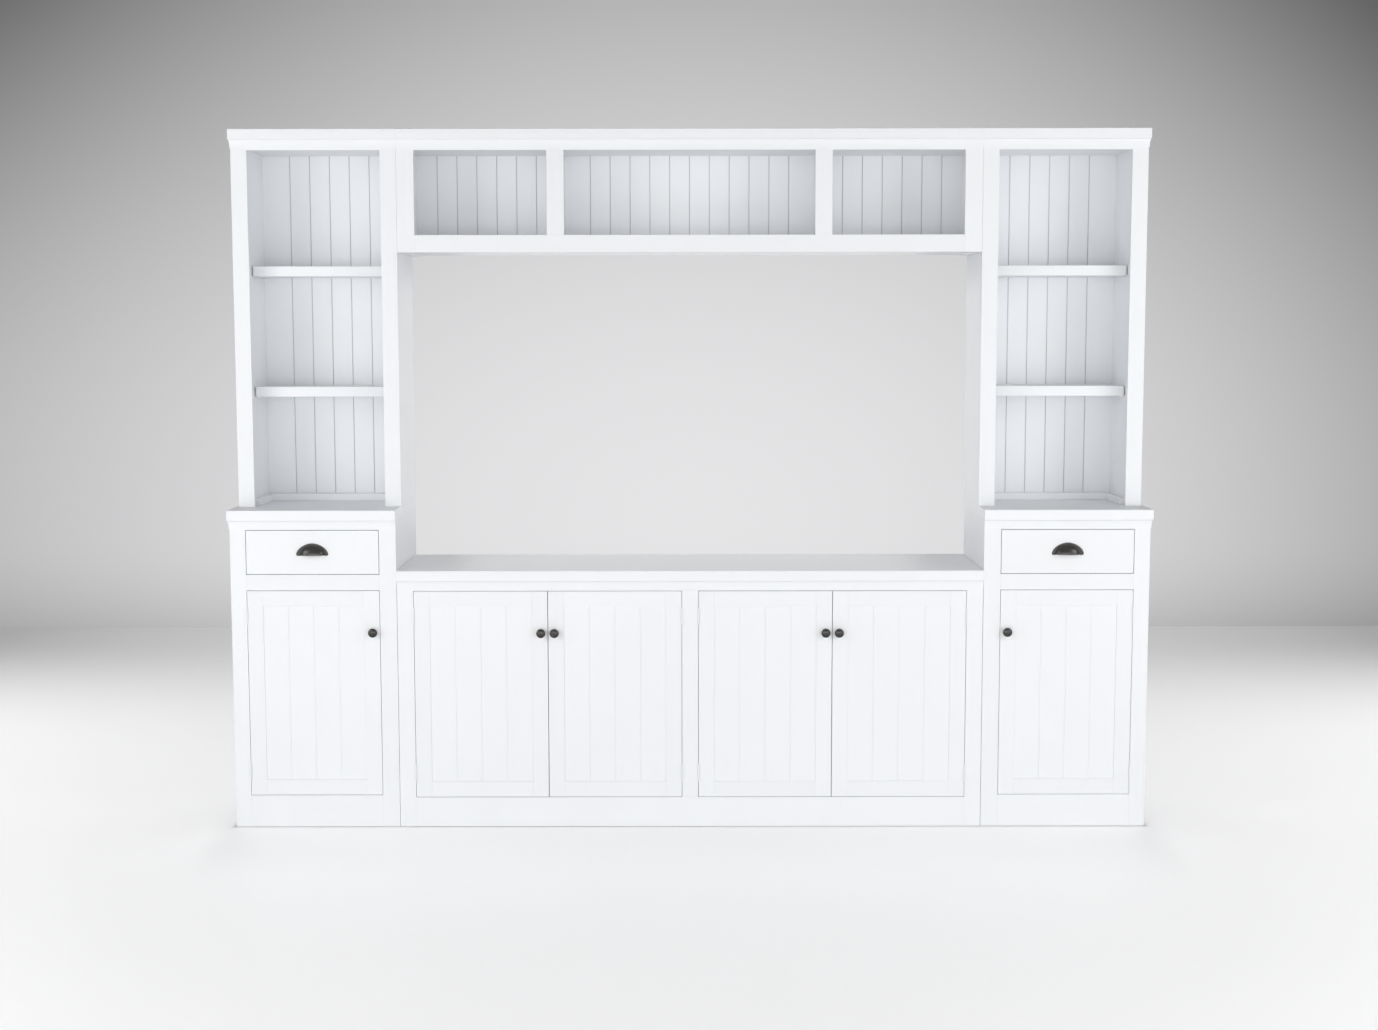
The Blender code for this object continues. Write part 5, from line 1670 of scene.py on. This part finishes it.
class WALLUNIT_OT_shelves(bpy.types.Operator):
    """Make the shelves and the pins that carry them"""

    bl_idname = "wallunit.shelves"
    bl_label = "Shelves"

    def execute(self, context):
        for side in SIDES:
            for label in ("upper", "lower"):
                shelf_board(f"{side}_hutch_{label}_shelf", 0.008)
            shelf_board(f"{side}_base_shelf", 0.001)
            shelf_board(f"media_shelf_{side}", 0.001)
        shelf_pins()
        return {"FINISHED"}


class WALLUNIT_OT_doors(bpy.types.Operator):
    """Build the framed doors, hang them on butt hinges and give them catches"""

    bl_idname = "wallunit.doors"
    bl_label = "Doors"

    def execute(self, context):
        for name in DOORS:
            door(name)
        hinges()
        catches()
        return {"FINISHED"}


class WALLUNIT_OT_drawers(bpy.types.Operator):
    """Build the dovetailed drawers and their painted fronts"""

    bl_idname = "wallunit.drawers"
    bl_label = "Drawers"

    def execute(self, context):
        for side in SIDES:
            drawer_box(side)
            drawer_front(side)
        return {"FINISHED"}


class WALLUNIT_OT_ironware(bpy.types.Operator):
    """Turn the knobs, make the cup pulls and set the bolts"""

    bl_idname = "wallunit.ironware"
    bl_label = "Ironware"

    def execute(self, context):
        for name in DOORS:
            knob(name + "_knob", name)
        for side in SIDES:
            cup_pull(side)
        bolts()
        return {"FINISHED"}


# The studio


def stage_object(name, bm, material):
    """Make an object that is not part of the unit."""
    mesh = bpy.data.meshes.new(name)
    bm.to_mesh(mesh)
    bm.free()
    mesh.materials.append(material)
    obj = bpy.data.objects.new(name, mesh)
    bpy.context.scene.collection.objects.link(obj)
    return obj


def area_lamp(name, place, target, size, power):
    """Hang a soft rectangular lamp that faces a point."""
    light = bpy.data.lights.new(name, "AREA")
    light.shape = "RECTANGLE"
    light.size, light.size_y = size
    light.energy = power
    obj = bpy.data.objects.new(name, light)
    obj.location = place
    obj.rotation_euler = (Vector(target) - Vector(place)).to_track_quat("-Z", "Y").to_euler()
    bpy.context.scene.collection.objects.link(obj)


class WALLUNIT_OT_stage(bpy.types.Operator):
    """Set up the floor, backdrop, lamps and camera"""

    bl_idname = "wallunit.stage"
    bl_label = "Stage"

    def execute(self, context):
        settings = context.scene.wallunit_stage
        floor = bmesh.new()
        bmesh.ops.create_grid(floor, x_segments=1, y_segments=1, size=14)
        bmesh.ops.translate(floor, verts=floor.verts, vec=(0, 0, -0.0008))
        stage_object("floor", floor, floor_material("pale_floor", settings))
        wall = bmesh.new()
        place = settings.wall_place
        corners = [(-14, place, -0.1), (14, place, -0.1), (14, place, 9), (-14, place, 9)]
        wall.faces.new([wall.verts.new(corner) for corner in corners])
        stage_object("backdrop", wall, backdrop_material("pale_backdrop", settings))
        area_lamp("front_lamp", (0, -6.5, 1.2), (0, 0, 1.0), (7, 2), settings.front_power)
        area_lamp("low_lamp", (0, -2.64, 0.36), (0, -0.24, 2.12), (5, 0.8), settings.low_power)
        area_lamp("back_lamp", (0, 1.9, 2.7), (0, 0, 0.8), (3, 1), settings.back_power)
        area_lamp("bay_lamp", (0, 1.1, 1.25), (0, -0.2, 1.2), (1.7, 0.9), settings.bay_power)
        for side, way in SIDES.items():
            area_lamp(f"{side}_lamp", (way * 3.2, -2.6, 1.3), (way * 1.0, 0, 1.0), (1.6, 2.2), settings.side_power)
            area_lamp(f"{side}_high_lamp", (way * 3.4, -3.0, 2.6), (way * 1.0, 0, 1.4), (2.0, 1.6),
                      settings.high_power)
        self.set_world(context, settings)
        self.set_camera(context, settings)
        context.scene.view_settings.view_transform = "Standard"
        return {"FINISHED"}

    @staticmethod
    def set_world(context, settings):
        """Light the room a little from all round, and show it pale."""
        world = bpy.data.worlds.new("even_light")
        world.use_nodes = True
        tree = world.node_tree
        background = tree.nodes["Background"]
        background.inputs["Color"].default_value = (1, 1, 1, 1)
        tree.links.new(calculated(
            tree, "shown or lit", "MULTIPLY_ADD", seen_or_mirrored(tree), settings.room_tone - settings.ambient,
            settings.ambient), background.inputs["Strength"])
        context.scene.world = world

    @staticmethod
    def set_camera(context, settings):
        """Place the camera square to the front of the unit."""
        camera = bpy.data.objects.new("camera", bpy.data.cameras.new("camera"))
        camera.data.lens = settings.focal_length
        camera.data.sensor_width = 36
        camera.location = (-settings.camera_aside, FRONT - settings.camera_distance, settings.camera_height)
        camera.rotation_euler = (math.pi / 2 - settings.camera_pitch, settings.camera_roll, 0)
        context.scene.collection.objects.link(camera)
        context.scene.camera = camera


OPERATORS = (
    WALLUNIT_OT_finishes, WALLUNIT_OT_trees, WALLUNIT_OT_case_work, WALLUNIT_OT_mouldings, WALLUNIT_OT_backs,
    WALLUNIT_OT_shelves, WALLUNIT_OT_doors, WALLUNIT_OT_drawers, WALLUNIT_OT_ironware, WALLUNIT_OT_stage,
)


class WALLUNIT_PT_panel(bpy.types.Panel):
    """Lists the steps that dress the wall unit"""

    bl_idname = "WALLUNIT_PT_panel"
    bl_label = "Wall Unit"
    bl_space_type = "VIEW_3D"
    bl_region_type = "UI"
    bl_category = "Wall Unit"

    def draw(self, context):
        for operator in OPERATORS:
            self.layout.operator(operator.bl_idname)


GROUPS = {
    "wallunit_paint": PaintSettings,
    "wallunit_boards": BoardSettings,
    "wallunit_hardware": HardwareSettings,
    "wallunit_drawers": DrawerSettings,
    "wallunit_stage": StageSettings,
}


def register():
    """Register the settings, operators and panel."""
    for cls in (*GROUPS.values(), *OPERATORS, WALLUNIT_PT_panel):
        bpy.utils.register_class(cls)
    for name, cls in GROUPS.items():
        setattr(bpy.types.Scene, name, PointerProperty(type=cls))


def unregister():
    """Undo register."""
    for name in GROUPS:
        delattr(bpy.types.Scene, name)
    for cls in (WALLUNIT_PT_panel, *reversed(OPERATORS), *GROUPS.values()):
        bpy.utils.unregister_class(cls)


def main():
    """Dress the wall unit."""
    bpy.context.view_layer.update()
    register()
    bpy.ops.wallunit.finishes()
    bpy.ops.wallunit.trees()
    bpy.ops.wallunit.case_work()
    bpy.ops.wallunit.mouldings()
    bpy.ops.wallunit.backs()
    bpy.ops.wallunit.shelves()
    bpy.ops.wallunit.doors()
    bpy.ops.wallunit.drawers()
    bpy.ops.wallunit.ironware()
    bpy.ops.wallunit.stage()


if __name__ == "__main__":
    main()
